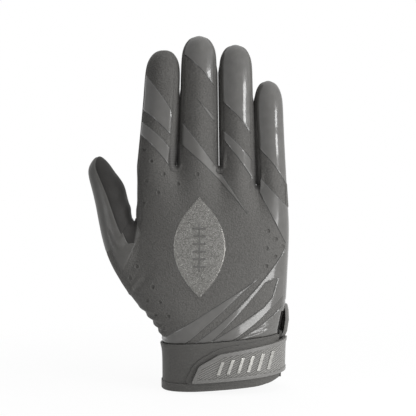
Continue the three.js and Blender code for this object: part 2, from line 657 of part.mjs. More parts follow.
const webLow = cuffTop + SEAM_GAP;
const webHigh = webLow + WEB_WALL;
const hookHigh = webLow + PILE_WALL;
const hookPocket = wristLayer(webLow - SEAM_GAP, hookHigh + SEAM_GAP)
  .intersect(prism(patchOutline(SEAM_GAP)));
const web = wristLayer(webLow, webHigh).intersect(prism(strapOutline(0)));
addPiece("strap_web", geometryOf(web.subtract(hookPocket)), CUFF_KNIT);
addPiece("hook_patch", geometryOf(wristLayer(webLow, hookHigh).intersect(prism(patchOutline(0)))), PILE);

// Moulded rim and the ribbed inlay inside it
const rimLow = webHigh + SEAM_GAP;
const rimHigh = rimLow + FRAME_WALL;
const rimWindow = prism(strapOutline(RIM - SEAM_GAP));
const frame = wristLayer(rimLow, rimHigh).intersect(prism(strapOutline(0))).subtract(rimWindow);
addPiece("strap_frame", geometryOf(frame), STRAP_RUBBER);
const inlayHigh = rimLow + INLAY_WALL;
let inlay = wristLayer(rimLow, inlayHigh).intersect(prism(strapOutline(RIM)));
const ribLayer = wristLayer(inlayHigh - RIB_HEIGHT, inlayHigh + RIB_HEIGHT);
for (let k = 0; k < RIBS; k += 1) {
  const low = -STRAP_REACH + RIB_START + k * RIB_PITCH;
  const high = low + RIB_SLANT;
  const margin = RIM + RIB_END_MARGIN;
  inlay = inlay.add(ribLayer.intersect(prism(polygon([
    [low, strapLow(low) + margin],
    [low + RIB_WIDTH, strapLow(low) + margin],
    [high + RIB_WIDTH, strapHigh(high) - margin],
    [high, strapHigh(high) - margin],
  ]))));
}
addPiece("strap_inlay", geometryOf(inlay), INLAY_RUBBER);

// Sewn-down end of the strap: over the cuff on the palm side and up along the opening
const rootFaces = ({ part, zone, side }) => part === "hand" && zone < THUMB_LOW_ROW
  && (side === "littlePalm" || side === "palm");
const rootLayer = (low, high) => solidOf(layer(handSkin, rootFaces, low, high));
const rootEdge = WRIST_LITTLE_REACH - ROOT_REACH;
const cuffEdge = (x) => edgeHeight(CUFF_TOP_ROW, x);
const overCuff = polygon([
  [rootEdge, strapLow(rootEdge)],
  [THROUGH, strapLow(THROUGH)],
  [THROUGH, cuffEdge(THROUGH) + ROOT_TOP],
  [WRIST_LITTLE_REACH, cuffEdge(WRIST_LITTLE_REACH) + ROOT_TOP],
  [rootEdge, cuffEdge(rootEdge) + SEAM_GAP],
]);
const pastCuff = polygon([
  [rootEdge, cuffEdge(rootEdge) + 2 * SEAM_GAP],
  [THROUGH, cuffEdge(THROUGH) + 2 * SEAM_GAP],
  [THROUGH, cuffEdge(THROUGH) + ROOT_TOP],
  [WRIST_LITTLE_REACH, cuffEdge(WRIST_LITTLE_REACH) + ROOT_TOP],
]);
const strapRoot = rootLayer(webLow, webHigh).intersect(prism(overCuff))
  .add(rootLayer(SEAM_GAP, SEAM_GAP + ROOT_WALL).intersect(prism(pastCuff)));
addPiece("strap_root", geometryOf(strapRoot), STRAP_RUBBER);

// Gloss films over the back of the stalls and of the hand
function film(pick, shape) {
  const sheet = solidOf(layer(handSkin, pick, SEAM_GAP, SEAM_GAP + FILM_WALL));
  return geometryOf(sheet.intersect(prism(shape)));
}
for (const { finger: label, zone, name, top, topDrop, bottom, drop } of FINGER_BANDS) {
  const finger = FINGERS.find((one) => one.name === label);
  const half = finger.halfWidth + ROOT_GAP / 2;
  const middle = fingerCentre(finger, finger.tipZ - bottom).point.x;
  const edge = (below, fall, side) => [middle + side * half, finger.tipZ - below - side * half * fall];
  const upper = (side) => (top === undefined ? edge(-THROUGH, 0, side) : edge(top, topDrop, side));
  const outline = polygon([upper(-1), edge(bottom, drop, -1), edge(bottom, drop, 1), upper(1)]);
  const pick = (face) => face.part === finger.name && face.zone === zone && face.side === "back";
  addPiece(name, film(pick, outline), GLOSS_FILM);
}
const cuffTopZ = edgeHeight(CUFF_TOP_ROW, 0);
for (const { name, outline } of HAND_FILMS) {
  addPiece(name, film(onBack, polygon(outline.map(([x, up]) => [x, cuffTopZ + up]))), GLOSS_FILM);
}
const thumbFlash = polygon(THUMB_FLASH.map(({ out, up }) => [thumbEdge - out, thumbBase + up]));
const onThumbRoot = ({ part, zone, column }) => part === "thumb" && zone === "root" && column <= 1;
addPiece("thumb_flash", film(onThumbRoot, thumbFlash), GLOSS_FILM);

// Emblem film: two arcs that meet at the ends of a pointed oval
const emblemZ = cuffTopZ + EMBLEM.aboveCuff;
const emblemShape = new THREE.Shape();
emblemShape.moveTo(EMBLEM.x, emblemZ - EMBLEM.height / 2);
for (const side of [1, -1]) {
  const end = emblemZ + side * EMBLEM.height / 2;
  emblemShape.quadraticCurveTo(EMBLEM.x + side * EMBLEM.width, emblemZ, EMBLEM.x, end);
}
addPiece("emblem_film", film(onBack, emblemShape), SILVER_FLAKE);

// Where the moving pieces turn: the middle knuckles, the thumb's flex sleeve and the strap's sewn edge
const rim = new THREE.Box3().setFromObject(glove.getObjectByName("strap_frame"));
const thumbHinge = mean([thumbPlace(THUMB_RINGS[0]), thumbPlace(THUMB_RINGS[1])]);
const strapHinge = new THREE.Vector3(rim.max.x, 0, (rim.min.z + rim.max.z) / 2);
glove.userData.hinges = [
  ...FINGERS.map((finger) => ({ name: finger.name, point: fingerCentre(finger, finger.knuckleZ).point })),
  { name: "thumb", point: thumbHinge },
  { name: "strap", point: strapHinge },
];

export default glove;
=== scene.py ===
# %% [markdown]
# # A football receiver's glove
# The glove is a right hand's, filled as if worn, and seen from the back. A real one is cut flat as a dozen
# panels, sewn inside out, turned, and pulled over a heated hand form. All its panels end up as stretches of
# one smooth skin, so this notebook goes the same way: first the skin, then its seams, then the panels.

# %% Open the shared frame
import math

import bmesh
import bpy
import numpy as np
from mathutils import Matrix, Vector
from mathutils.kdtree import KDTree


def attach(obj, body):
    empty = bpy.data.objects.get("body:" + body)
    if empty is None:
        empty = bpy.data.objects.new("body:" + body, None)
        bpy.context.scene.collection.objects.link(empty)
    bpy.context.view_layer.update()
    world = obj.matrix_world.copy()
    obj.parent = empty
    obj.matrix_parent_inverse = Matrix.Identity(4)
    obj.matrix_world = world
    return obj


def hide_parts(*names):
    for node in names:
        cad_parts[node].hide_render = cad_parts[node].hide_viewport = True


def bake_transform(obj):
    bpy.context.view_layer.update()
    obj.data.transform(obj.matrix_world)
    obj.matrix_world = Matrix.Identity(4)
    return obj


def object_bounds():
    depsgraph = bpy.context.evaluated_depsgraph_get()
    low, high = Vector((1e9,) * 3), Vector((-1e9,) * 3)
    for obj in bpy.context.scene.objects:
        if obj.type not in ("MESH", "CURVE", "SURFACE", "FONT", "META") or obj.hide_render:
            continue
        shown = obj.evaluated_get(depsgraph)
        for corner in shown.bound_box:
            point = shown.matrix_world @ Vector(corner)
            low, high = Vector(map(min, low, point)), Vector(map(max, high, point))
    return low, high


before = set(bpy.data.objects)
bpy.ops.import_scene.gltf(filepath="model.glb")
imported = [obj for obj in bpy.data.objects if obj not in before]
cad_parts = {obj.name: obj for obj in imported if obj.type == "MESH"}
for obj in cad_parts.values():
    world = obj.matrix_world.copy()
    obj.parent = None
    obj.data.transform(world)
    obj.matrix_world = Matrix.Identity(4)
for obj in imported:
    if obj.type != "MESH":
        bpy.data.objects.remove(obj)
cad_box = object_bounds()
MM = 0.001
LEVEL = 4  # how many times the cage is subdivided

# %% [markdown]
# ## The hand form
# The form that gives the skin its shape is a coarse cage of four-sided faces. It could be pulled out of a
# box by hand, one extrusion after another. Here its points are worked out from sizes instead, because the
# solids in the frame are built from the same cage, and the two have to agree. Every face keeps a tag with
# the part, zone and side that it belongs to, so that panels can be picked later.

# %% Cage helpers
cage_points, cage_faces, cage_tags = [], [], []
UP, TO_BACK, RIGHT = np.array((0, 0, 1.0)), np.array((0, -1.0, 0)), np.array((1.0, 0, 0))
POLE_REACH = 9 / 4  # smoothing pulls the pole of a tip back, so it is set this much further out


def add_points(points):
    first = len(cage_points)
    cage_points.extend(points)
    return list(range(first, len(cage_points)))


def add_face(corners, part, zone, side, column=0):
    cage_faces.append(corners)
    cage_tags.append((part, zone, side, column))


def add_band(lower, upper, part, zone, sides, gap=""):
    for i, side in enumerate(sides):
        j = (i + 1) % len(sides)
        if not gap or not side.startswith(gap):
            add_face((lower[i], lower[j], upper[j], upper[i]), part, zone, side, i)


def turned(vector, axis, degrees):
    return np.array(Matrix.Rotation(math.radians(degrees), 3, Vector(axis)) @ Vector(vector))


def section(centre, half, depth, seam, across, to_back):
    """Eight control points whose smooth curve passes the half sizes at the sides, the crown and the seams."""
    side = (12 - 6 * math.cos(math.radians(seam))) / 7
    crown = (12 - 6 * math.sin(math.radians(seam))) / 7
    x, y = 3 - 2 * side, 3 - 2 * crown
    plan = [(-x, y), (0, crown), (x, y), (side, 0), (x, -y), (0, -crown), (-x, -y), (-side, 0)]
    return [centre + u * half * across + v * depth * to_back for u, v in plan]


def add_stall(part, rings, zones, tip, sides, cap):
    for lower, upper, zone in zip(rings, rings[1:], zones):
        add_band(lower, upper, part, zone, sides)
    last = rings[-1]
    middle = np.mean([cage_points[i] for i in last], axis=0)
    pole, = add_points([middle + POLE_REACH * (tip - middle)])
    for i in range(cap, cap + 8, 2):
        add_face((last[i % 8], last[(i + 1) % 8], last[(i + 2) % 8], pole), part, "tip", sides[i])


print("cage helpers ready")

# %% [markdown]
# ## Fingers
# A stall is a tube of cloth that ends in a rounded tip. It could start as a cylinder with loop cuts, but a
# filled finger leans, narrows and bows to the palm, so each of its rings of eight points is placed on a
# curve. Sizes are in millimetres: where a finger starts and ends across the hand, the crotches beside it,
# the middle knuckle, the tip, and how wide and deep it is.

# %% Finger stalls
FINGERS = {
    "index": dict(root=-44.6, tip=-39.4, crotch=(143.6, 145.6), knuckle=168, top=222,
                  half=12.7, narrows=1.7, depth=10.6, thins=1.9, turn=-18),
    "middle": dict(root=-16.7, tip=-15.9, crotch=(145.6, 145.6), knuckle=170, top=231,
                   half=13, narrows=1.9, depth=11, thins=1.9, turn=0),
    "ring": dict(root=9.8, tip=8.1, crotch=(145.6, 132.6), knuckle=168, top=225.2,
                 half=11.3, narrows=0.6, depth=10.6, thins=1.9, turn=0),
    "little": dict(root=32.9, tip=29.7, crotch=(132.6, 127.6), knuckle=151, top=201.5,
                   half=9.6, narrows=0.3, depth=9.2, thins=1.4, turn=0),
}
FLEX = 12  # half the length of the stretch that bends at a knuckle
ROOT_DEPTH = -0.5  # a finger's root, from the hand's middle plane towards the palm
TIP_BOW = 5  # how much further to the palm its tip is
SEAM_ANGLE = 31.5  # where its seams run, in degrees from its sides
ROOT_STEP = 4  # from the crotch to the second ring
TIP_RINGS = ((20, 1.02), (8.5, 1), (1.8, 0.62))  # last rings: how far below the tip, and their size
FINGER_SIDES = ["back", "back", "little", "little", "palm", "palm", "thumb", "thumb"]


def finger_middle(finger, z):
    low = sum(finger["crotch"]) / 2
    along = (z - low) / (finger["top"] - low)
    eased = along + along * (1 - along) / 2
    x = finger["root"] + (finger["tip"] - finger["root"]) * eased
    return along, np.array((x, ROOT_DEPTH + TIP_BOW * along * along, z))


def finger_ring(finger, z_thumb, z_little, size=1.0):
    along, middle = finger_middle(finger, (z_thumb + z_little) / 2)
    half = size * (finger["half"] - finger["narrows"] * along)
    depth = size * (finger["depth"] - finger["thins"] * along)
    ring = section(middle, half, depth, SEAM_ANGLE, turned(RIGHT, UP, finger["turn"]),
                   turned(TO_BACK, UP, finger["turn"]))
    for corner in ring:
        corner[2] += (z_little - z_thumb) / 2 * np.clip((corner[0] - middle[0]) / half, -1, 1)
    return add_points(ring)


for name, finger in FINGERS.items():
    low, high = finger["crotch"]
    rings = [finger_ring(finger, low + up, high + up) for up in (0, ROOT_STEP)]
    rings += [finger_ring(finger, z, z) for z in (finger["knuckle"] - FLEX, finger["knuckle"] + FLEX)]
    for below, size in TIP_RINGS:
        rings.append(finger_ring(finger, finger["top"] - below, finger["top"] - below, size))
    finger["ring"] = rings[0]
    tip = finger_middle(finger, finger["top"])[1]
    add_stall(name, rings, ["root", "root", "flex", "tip", "tip", "tip"], tip, FINGER_SIDES, 0)
stalls = list(FINGERS.values())
for f, (near, far) in enumerate(zip(stalls, stalls[1:])):
    near, far = near["ring"], far["ring"]
    add_face((near[2], far[0], far[7], near[3]), "web", f, "web")
    add_face((near[3], far[7], far[6], near[4]), "web", f, "web")
print("finger cage faces:", len(cage_faces))

# %% [markdown]
# ## Hand
# The body of the glove is a flat tube. It could be lofted through a few outlines, but the fingers need a
# column of points for each of their seams, so nine rows of twenty-six points go round the hand from the hem
# to the knuckles. Each gives its height at mid-width, how much higher the little side is than the thumb
# side, the ends across, and the depth to the back and to the palm.

# %% Hand rows
ROWS = [
    (0.8, 6.4, -39.4, 36.9, 24, 21.5), (3.3, 6.4, -39.4, 36.9, 24, 21.5),
    (21.8, 7, -39.4, 37.2, 23.5, 21.5), (31, 8, -40, 37.9, 22.8, 21.2),
    (43.5, 3, -46.7, 40.3, 20.6, 20.6), (56, -4, -63.9, 43.3, 18.8, 20.8),
    (79, -10, -59.3, 43.9, 17.4, 18.8), (100.5, -17, -58.9, 44.9, 16.6, 16.6),
    (116, -16, -58.5, 45.1, 15.6, 14.6),
]
THUMB_EDGE, LITTLE_EDGE = -57.3, 42.5  # the hand's sides at the knuckles
ARCH = 2.4  # how boxy a row is, where 2 is an ellipse
OUTER_INSET, INNER_INSET = 0.15, 0.05  # columns in from a finger's sides, as a share of its width
columns = []
for f, finger in enumerate(stalls):
    near = OUTER_INSET if f == 0 else INNER_INSET
    far = OUTER_INSET if f == 3 else INNER_INSET
    for step in (2 * near - 1, 0, 1 - 2 * far):
        x = finger["root"] + step * finger["half"]
        columns.append(2 * (x - THUMB_EDGE) / (LITTLE_EDGE - THUMB_EDGE) - 1)


def hand_row(z, rise, left, right, back, palm):
    def place(across, depth):
        arch = max(0, 1 - abs(across) ** ARCH) ** (1 / ARCH)
        return np.array((left + (right - left) * (across + 1) / 2, depth * arch, z + rise * across / 2))
    return add_points([place(c, -back) for c in columns] + [place(1, 0)]
                      + [place(c, palm) for c in reversed(columns)] + [place(-1, 0)])


HAND_SIDES = (["back"] * 11 + ["little_back", "little_palm"] + ["palm"] * 11 + ["thumb_palm", "thumb_back"])
crown = [finger["ring"][i] for finger in stalls for i in (0, 1, 2)] + [stalls[3]["ring"][3]]
crown += [finger["ring"][i] for finger in reversed(stalls) for i in (4, 5, 6)] + [stalls[0]["ring"][7]]
hand = [hand_row(*row) for row in ROWS] + [crown]
for k, (lower, upper) in enumerate(zip(hand, hand[1:])):
    add_band(lower, upper, "hand", k, HAND_SIDES, gap="thumb" if k in (5, 6) else "")
print("rows of the hand:", len(ROWS))

# %% [markdown]
# ## Thumb
# The thumb is a second tube, sewn in at the side of the first. The two could be joined by a Boolean, but
# that leaves slivers at the joint, so the thumb's rings grow from a gap that the hand's rows leave for it.

# %% Thumb stall
# Rings of the thumb: place out, palmward and up from its base, half sizes, lean and turn in degrees
THUMB_RINGS = [(13.2, 6, -12.5, 14.3, 12.8, 46, 15), (17.2, 8.5, 14, 11.2, 11.4, 14, -6),
               (22.2, 11, 29, 10.8, 10.8, 14, -14), (27.2, 12.8, 37, 7.4, 7.8, 16, -15)]
THUMB_TIP = (27.2, 13.8, 42.3)
THUMB_SEAM_ANGLE = 45
# Rows and columns of the hand's points round the gap for the thumb
THUMB_GAP = [(5, 0), (6, 0), (7, 0), (7, 25), (7, 24), (6, 24), (5, 24), (5, 25)]
THUMB_SIDES = ["outer", "inner", "inner", "inner", "inner", "outer", "outer", "outer"]
thumb_base = ROWS[7][0] - ROWS[7][1] / 2


def thumb_place(out, palmward, up):
    return np.array((THUMB_EDGE - out, palmward, thumb_base + up))


thumb = [[hand[row][column] for row, column in THUMB_GAP]]
for out, palmward, up, half, depth, lean, turn in THUMB_RINGS:
    slope = math.radians(lean)
    axis, inward = (-math.sin(slope), 0, math.cos(slope)), (math.cos(slope), 0, math.sin(slope))
    thumb.append(add_points(section(thumb_place(out, palmward, up), half, depth, THUMB_SEAM_ANGLE,
                                    turned(inward, axis, turn), turned(TO_BACK, axis, turn))))
add_stall("thumb", thumb, ["root", "flex", "tip", "tip"], thumb_place(*THUMB_TIP), THUMB_SIDES, 1)
print("cage points and faces:", len(cage_points), len(cage_faces))

# %% [markdown]
# ## The smooth skin
# A Subdivision Surface modifier rounds the cage, as a heated form rounds damp cloth. The surface could also
# be worked out point by point, but the modifier is the same rule that the solids follow, and it is quick.
# Each face of the skin remembers the face of the cage that it came from.

# %% Skin
mesh = bpy.data.meshes.new("skin")
mesh.from_pydata([tuple(p * MM) for p in cage_points], [], cage_faces)
mesh.attributes.new("cage_face", "INT", "FACE").data.foreach_set("value", list(range(len(cage_faces))))
skin = bpy.data.objects.new("skin", mesh)
bpy.context.collection.objects.link(skin)


def make_active(piece):
    bpy.ops.object.select_all(action="DESELECT")
    piece.select_set(True)
    bpy.context.view_layer.objects.active = piece


def apply_modifier(piece, kind, **settings):
    make_active(piece)
    modifier = piece.modifiers.new(kind.lower(), kind)
    for name, value in settings.items():
        setattr(modifier, name, value)
    bpy.ops.object.modifier_apply(modifier=modifier.name)


apply_modifier(skin, "SUBSURF", levels=LEVEL, render_levels=LEVEL)
print("smooth faces:", len(skin.data.polygons))

# %% [markdown]
# ### Finer faces for the pits
# Pins in the mould press small pits in the back of a real glove. A bump texture would leave them flat from
# the side, so they will be pressed in the mesh, and the skin gets finer faces there.

# %% Finer faces
# Pits on the back of the hand, (x, z)
PITS = [(-52.2, 155.9), (-47.2, 148.9), (-39.2, 140.5), (-50.4, 135.9), (-29.9, 134), (-42.7, 128.4),
        (-52.3, 121.8), (-17.1, 140.6), (-57.2, 79.5), (-61.5, 71.5), (-46.5, 66.5), (-50.2, 57.5),
        (-41.7, 56.7), (-44.5, 48.3), (-36, 47.6), (-39.5, 39.5), (29.3, 103.2), (34.5, 97.8),
        (28.4, 91.9), (39.2, 92.5), (34.1, 86.3), (28.1, 80.2)]
PIT_RADIUS = 1.35
PIT_MARGIN = 1.2  # ring of finer faces round a pit


def read(values, field, width, kind=np.float64):
    found = np.empty(len(values) * width, kind)
    values.foreach_get(field, found)
    return found.reshape(-1, width) if width > 1 else found


middles = read(skin.data.polygons, "center", 3) / MM
facing = read(skin.data.polygons, "normal", 3)
near_pit = np.zeros(len(middles), bool)
for x, z in PITS:
    away = np.hypot(middles[:, 0] - x, middles[:, 2] - z)
    near_pit |= (away < PIT_RADIUS + PIT_MARGIN) & (facing[:, 1] < 0)
make_active(skin)
bpy.ops.object.mode_set(mode="EDIT")
bpy.ops.mesh.select_mode(type="FACE")
bpy.ops.mesh.select_all(action="DESELECT")
bpy.ops.object.mode_set(mode="OBJECT")
skin.data.polygons.foreach_set("select", near_pit)
bpy.ops.object.mode_set(mode="EDIT")
bpy.ops.mesh.subdivide(number_cuts=2)
bpy.ops.object.mode_set(mode="OBJECT")

points = read(skin.data.vertices, "co", 3) / MM
normals = read(skin.data.vertex_normals, "vector", 3)
corner_of = read(skin.data.loops, "vertex_index", 1, np.int32)
corner_count = read(skin.data.polygons, "loop_total", 1, np.int32)
face_of = np.repeat(np.arange(len(corner_count)), corner_count)
cage_of = read(skin.data.attributes["cage_face"].data, "value", 1, np.int32)
print("skin faces:", len(corner_count))

# %% [markdown]
# ## Panels of the pattern
# A cutter's pattern says which stretch of cloth is which panel. Faces could be picked here by their place,
# but the fingers lie too close together for that, so each skin face is looked up in the cage's tags, and a
# panel is a set of tags. The back is one piece from the wrist to the fingertips, so no seam crosses it at
# the knuckles.

# %% Panels
parts = np.array([tag[0] for tag in cage_tags])[cage_of]
zones = np.array([str(tag[1]) for tag in cage_tags])[cage_of]
sides = np.array([tag[2] for tag in cage_tags])[cage_of]
column_of = np.array([tag[3] for tag in cage_tags])[cage_of]
in_hand = (parts == "hand") & np.isin(zones, list("345678"))
below_thumb = (parts == "hand") & np.isin(zones, list("34"))
in_wrist = (parts == "hand") & np.isin(zones, list("012"))
on_finger = np.isin(parts, list(FINGERS))
in_stall = np.isin(zones, ["flex", "tip"])
on_back = (in_hand & (sides == "back")) | (below_thumb & (sides == "thumb_back"))
on_back |= on_finger & (sides == "back")
on_palm = (in_hand & (sides == "palm")) | (below_thumb & np.isin(sides, ["thumb_palm", "little_palm"]))
on_palm |= on_finger & (sides == "palm")
index_edge = (in_hand & np.isin(zones, ["7", "8"]) & np.char.startswith(sides, "thumb"))
index_edge |= (parts == "index") & (sides == "thumb")
little_edge = (in_hand & ~below_thumb & np.char.startswith(sides, "little"))
little_edge |= (parts == "little") & (sides == "little")
names = list(FINGERS)
fourchettes = [(parts == "web") & (zones == str(f)) | (parts == names[f]) & (sides == "little")
               | (parts == names[f + 1]) & (sides == "thumb") for f in range(3)]
on_thumb = parts == "thumb"
thumb_inner = on_thumb & (sides == "inner") & in_stall
thumb_ball = on_thumb & ~in_stall & np.isin(column_of, [3, 4, 5, 6])
slit = below_thumb & (sides == "little_back")

group = np.zeros(len(parts), int)
whole_back = on_back | little_edge | (on_thumb & ~thumb_inner & ~thumb_ball)
sewn_groups = [whole_back, on_palm | thumb_ball, *fourchettes, index_edge, thumb_inner, in_wrist, slit]
for number, chosen in enumerate(sewn_groups, start=1):
    group[chosen] = number
print("faces in no group:", int((group == 0).sum()))

# %% [markdown]
# ## Seams of the pattern
# A seam runs wherever two sewn groups meet. Each edge of the skin turns up once in both of its faces, so
# sorting the edges by their ends puts the two side by side, and a seam is an edge whose faces are in
# different groups. A tree of the places on the seams then gives every point of the skin its distance to the
# nearest one.

# %% Seams
starts = np.concatenate(([0], np.cumsum(corner_count)[:-1]))
following = np.arange(len(corner_of)) + 1
following[starts + corner_count - 1] = starts
ends = np.sort(np.stack((corner_of, corner_of[following]), 1), 1)
order = np.lexsort((ends[:, 1], ends[:, 0]))
same = (ends[order][1:] == ends[order][:-1]).all(1)
first, second = order[:-1][same], order[1:][same]
sewn = group[face_of[first]] != group[face_of[second]]
seam_ends = ends[first[sewn]]
seam_points = np.concatenate((points[seam_ends[:, 0]], points[seam_ends].mean(1)))
tree = KDTree(len(seam_points))
for i, point in enumerate(seam_points):
    tree.insert(point, i)
tree.balance()
to_seam = np.array([tree.find(point)[2] for point in points])
print("seam length, mm:", round(float(np.linalg.norm(np.diff(points[seam_ends], axis=1), axis=2).sum())))

# %% [markdown]
# ## What sewing does to the skin
# A seam draws the cloth in and puffs it up on either side. Each panel could be shaped after it is cut, but
# then two neighbours would part at their seam. So the whole skin is moved first: a lift along its own
# normal, in millimetres, is added up for every point from here on.

# %% Drawn-in seams
SEAM_DEPTH, SEAM_WIDTH = 0.32, 0.5
PUFF_HEIGHT, PUFF_PLACE, PUFF_WIDTH = 0.1, 2.2, 1.2
lift = -SEAM_DEPTH * np.exp(-(to_seam / SEAM_WIDTH) ** 2)
lift += PUFF_HEIGHT * np.exp(-((to_seam - PUFF_PLACE) / PUFF_WIDTH) ** 2)


def corners_in(chosen):
    """Which points of the skin belong to the chosen faces."""
    found = np.zeros(len(points), bool)
    found[corner_of[chosen[face_of]]] = True
    return found


def near_place(x, z, reach, squash=1.0):
    """One at a place seen from the back, fading to nothing past its reach."""
    away = np.hypot(points[:, 0] - x, (points[:, 2] - z) * squash)
    return np.exp(-(away / reach) ** 2)


# Round a fingertip the stitches are small, and from 20 to 10 mm below it the seam gets almost flat
for name, finger in FINGERS.items():
    near_tip = np.clip((points[:, 2] - finger["top"] + 20) / 10, 0, 1) * corners_in(parts == name)
    lift *= 1 - 0.7 * near_tip
# Where the grip panel of the thumb runs on past the stall, the seam is flat too
lift *= 1 - 0.9 * near_place(-63, 105.5, 7)
print("deepest seam, mm:", round(float(lift.min()), 2))

# %% [markdown]
# ## Folds
# Cloth gathers where the wrist narrows below the thumb, and folds where the thumb leaves the hand. They
# could be sculpted by hand or left to a cloth simulation, but a moulded glove has the same folds each time
# it is filled. So each one is a line of places on the glove, seen from the back, with a height and a width.
# A height below zero is a groove.

# %% Fold helper
FAR_OFF = 1e9


def along_line(line):
    """Distance to a line of (x, z) places, and how far along it the nearest place is, from 0 to 1."""
    line = np.array(line, float)
    spans = np.linalg.norm(np.diff(line, axis=0), axis=1)
    best, where, passed = np.full(len(points), FAR_OFF), np.zeros(len(points)), 0
    for start, end, span in zip(line, line[1:], spans):
        t = np.clip(((points[:, [0, 2]] - start) @ (end - start)) / span ** 2, 0, 1)
        away = np.linalg.norm(points[:, [0, 2]] - start - t[:, None] * (end - start), axis=1)
        closer = away < best
        best[closer], where[closer] = away[closer], ((passed + t * span) / spans.sum())[closer]
        passed += span
    return best, where


def fold(line, height, width, palm=False):
    """A ridge along a line, on the back or the palm, that fades at its ends and towards the glove's sides."""
    away, where = along_line(line)
    side = np.clip(normals[:, 1] * (1 if palm else -1) * 3 + 0.8, 0, 1)
    faded = np.sin(np.pi * np.clip(where, 0.02, 0.98)) ** 0.6
    return height * np.exp(-(away / width) ** 2) * faded * side


print("fold helper ready")

# %% [markdown]
# ### Folds on the back
# The photograph shows gathers at the wrist, two creases above the cuff, a slight waist below each fingertip,
# and the thumb's root, where a filled tube pushes on flat cloth. They are small, so Gaussian ridges are
# enough.

# %% Folds on the back
# Gathers at the narrow of the wrist, thumb side: height on the glove, how far they reach in, height of the
# fold
for z, reach, height in ((50, -42, 0.8), (44.6, -39, 1.0), (39.4, -37, 1.0), (34.6, -36, 0.8)):
    lift += fold([(-62 + (56 - z) * 0.8, z + 2), (reach, z - 1)], height, 1.7)
    lift += fold([(-62 + (53 - z) * 0.8, z - 1), (reach, z - 3.6)], -0.8 * height, 1.5)
# Two creases above the cuff, little side
lift += fold([(10, 32.5), (37, 41)], 0.4, 1.0) + fold([(13, 36), (38, 44)], 0.3, 1.0)
# Fingers narrow a little at their end joints, and the thumb's inner edge is pinched
WAIST_DEPTH, WAIST_LENGTH, WAIST_REACH = 0.4, 6, 13
for finger, z in zip(stalls, (190, 197, 183, 165)):
    on_this = np.abs(points[:, 0] - finger_middle(finger, z)[1][0]) < WAIST_REACH
    away = np.where(on_this, points[:, 2] - z, FAR_OFF)
    lift -= WAIST_DEPTH * np.exp(-(away / WAIST_LENGTH) ** 2) * np.clip(-1.5 * normals[:, 1], 0, 1)
lift += fold([(-72, 127), (-58, 123)], -0.7, 3) + fold([(-72, 118), (-56, 116)], 0.8, 3)
lift -= 1.7 * near_place(-70, 142.5, 8) * np.clip(1.4 * normals[:, 0], 0, 1) * corners_in(on_thumb)
# Fold below the thumb, and the dent where its root meets the back
lift += fold([(-63, 59), (-60, 66), (-52, 74)], 1.2, 1.2) + fold([(-61, 58), (-57, 66), (-50, 73)], -0.8, 2.2)
# The thumb's filled end puffs out above the film beside it
lift += 0.9 * near_place(-69.5, 99, 5.5, squash=0.8) * np.clip(-2 * normals[:, 1], 0, 1)
thumb_puff = [(-76.5, 103), (-73.5, 95.5), (-71, 91.8), (-68.2, 90.2), (-65.5, 91.5), (-63.8, 96)]
lift += fold(thumb_puff, -0.6, 1.3)
lift += fold([(-56, 94), (-58, 84), (-66, 74), (-70, 70)], -0.5, 3)
print("highest fold, mm:", round(float(lift.max()), 2))

# %% [markdown]
# ### Palm creases, crotch rims and pits
# A palm creases where the hand closes. The ends of the fourchettes are turned in at the crotches, which
# leaves a narrow rim there. A pit has steep walls and a flat floor, as a pin leaves it, so that one wall is
# in shadow.

# %% Palm, crotches and pits
# Palm creases: below the fingers, and round the ball of the thumb
lift += fold([(-55, 120), (-30, 126), (0, 122), (38, 112)], -0.9, 2.6, palm=True)
lift += fold([(-52, 112), (-25, 108), (10, 98), (34, 84)], -0.8, 2.4, palm=True)
lift += fold([(-50, 104), (-28, 92), (-16, 70), (-14, 48)], -1.0, 2.8, palm=True)
END_JOINT = 24  # from the middle knuckle up to the crease at the end joint
for finger in stalls:
    for z in (finger["knuckle"], finger["knuckle"] + END_JOINT):
        x = finger_middle(finger, z)[1][0]
        lift += fold([(x - 10, z), (x + 10, z)], -0.5, 1.8, palm=True)
# A narrow rim round each crotch, where the ends of the fourchette are turned in
CROTCH_RIM = [(-3.4, 10), (-3.4, -0.4), (-1.8, -2.9), (1.8, -2.9), (3.4, -0.4), (3.4, 10)]
for x, z in ((-31.2, 145.6), (-2.6, 145.6), (22.2, 132.6)):
    lift += fold([(x + across, z + up) for across, up in CROTCH_RIM], 1.1, 0.8)
PIT_DEPTH, PIT_WALL, PIT_LIP = 0.6, 0.55, 0.16
for x, z in PITS:
    away = np.hypot(points[:, 0] - x, points[:, 2] - z)
    pit = -PIT_DEPTH * np.clip((PIT_RADIUS - away) / PIT_WALL, 0, 1)
    lip = PIT_LIP * np.exp(-((away - PIT_RADIUS - 0.25) / 0.3) ** 2)
    lift += (pit + lip) * (normals[:, 1] < 0)
print("lowest and highest lift, mm:", round(float(lift.min()), 2), round(float(lift.max()), 2))

# %% [markdown]
# ## Filled fingers press together
# Now the skin is moved by its lift. A copy of the plain form is kept, because the cuff and the strap lie
# over the hand and don't follow its seams. Filled fingers flatten where they touch. A cloth simulation would
# find that by itself, but slowly, so here each side swells towards its neighbour and stops at the plane
# where they meet. On the back they stay round.

# %% Plain form and pressed fingers
form, form_away = points.copy(), normals.copy()
# At the opening of the cuff, the hem's corner is cut away in a curve that starts 18 mm across and 11 mm up
HEM_CURVE = 3.4
corner = np.clip((form[:, 0] - 18) / 19, 0, 1) ** 2 * np.clip((11 - form[:, 2]) / 7, 0, 1)
form[:, 2] += HEM_CURVE * (corner * (form[:, 1] < -0.01))
points += lift[:, None] * normals
SWELL = 1.7  # how far a filled side swells, unless it is stopped
EASE = 0.0016  # square of the distance over which it comes to a stop


